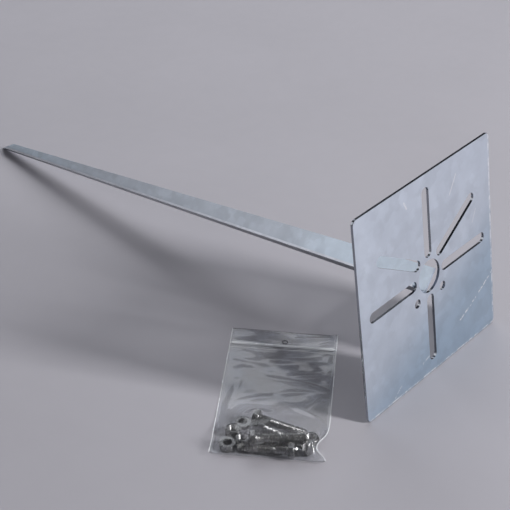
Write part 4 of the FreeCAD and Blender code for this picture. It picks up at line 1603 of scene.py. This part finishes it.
@dataclass
class Studio:
    """Plain pale floor, soft lights and the camera."""

    floor_colour: Colour = (0.378, 0.366, 0.398)
    world_colour: Colour = (0.88, 0.88, 1.0)
    world_fill: float = 0.14
    world_in_metal: float = 0.05
    floor_side: float = 12.0
    floor_drop: float = 0.03 * MM
    look_at: tuple[float, float, float] = (0.0, -0.05, 0.04)
    camera_place: tuple[float, float, float] = (-0.6478, -0.6539, 0.6535)
    camera_turn: tuple[float, float, float] = (55.3496, -0.8715, -49.1195)
    lens: float = 98.82
    lights: tuple[SoftLight, ...] = (
        SoftLight("key_light", (0.73, -1.78, 1.0), 2.2, (0.30, 0.75), 50.0),
        SoftLight("overhead_light", (1.0, 0.9, 1.0), 2.2, (2.0, 2.0), 28.0, (0.95, 0.97, 1.0), False),
        SoftLight("window_light", (0.75, 0.72, 0.98), 2.3, (1.4, 1.1), 4.2, (0.93, 0.96, 1.0)),
        SoftLight("back_left_light", (-0.62, 0.60, 0.42), 2.5, (1.3, 1.9), 9.0),
    )

    def build(self) -> None:
        """Builds the floor, the world, the lights and the camera."""
        self._floor()
        self._world()
        for light in self.lights:
            light.build(Vector(self.look_at))
        self._camera()
        bpy.context.scene.view_settings.view_transform = "Standard"

    def _floor(self) -> None:
        """A plain sheet under everything, faintly mottled like painted board."""
        marks = np.linspace(-self.floor_side / 2, self.floor_side / 2, 25)
        x, y = np.meshgrid(marks, marks, indexing="ij")
        points = np.stack((x, y, np.full_like(x, -self.floor_drop)), axis=-1).reshape(-1, 3)
        floor = mesh_piece("floor", points, grid_faces(len(marks), len(marks)))
        material, graph, shader = blank_material("pale_floor")
        place = placed_vector(graph)
        cloud = graph.fade(graph.noise(place, 7.0, 3.0, 0.55), 0.3, 0.7, 0.985, 1.015)
        graph.feed(shader.inputs["Base Color"], graph.tint(self.floor_colour, cloud))
        graph.feed(shader.inputs["Roughness"], graph.fade(graph.noise(place, 60.0), 0.3, 0.7, 0.62, 0.7))
        floor.data.materials.append(material)
        floor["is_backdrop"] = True

    def _world(self) -> None:
        """An even, dim, slightly blue surround, which is darker where metal mirrors it."""
        world = bpy.data.worlds.new("studio_surround")
        world.use_nodes = True
        background = world.node_tree.nodes["Background"]
        background.inputs["Color"].default_value = (*self.world_colour, 1.0)
        graph = Graph(world.node_tree)
        mirrored = graph.node("ShaderNodeLightPath").outputs["Is Glossy Ray"]
        graph.feed(background.inputs["Strength"],
                   graph.fade(mirrored, 0.0, 1.0, self.world_fill, self.world_in_metal))
        bpy.context.scene.world = world

    def _camera(self) -> None:
        """The camera looks down over the bag at the bracket from its front left."""
        lens = bpy.data.cameras.new("camera")
        lens.sensor_width = 36.0
        lens.lens = self.lens
        lens.clip_start = 0.01
        holder = bpy.data.objects.new("camera", lens)
        holder.location = self.camera_place
        holder.rotation_euler = Euler([math.radians(angle) for angle in self.camera_turn], "XYZ")
        bpy.context.scene.collection.objects.link(holder)
        bpy.context.scene.camera = holder


def main() -> None:
    """Builds the studio, the bracket and the fixing kit in order."""
    logging.basicConfig(level=logging.INFO, format="%(name)s: %(message)s")
    cad = [corner.copy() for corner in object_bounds()]
    Studio().build()
    Bracket().dress()
    FixingKit().build()
    bpy.context.view_layer.update()


if __name__ == "__main__":
    main()
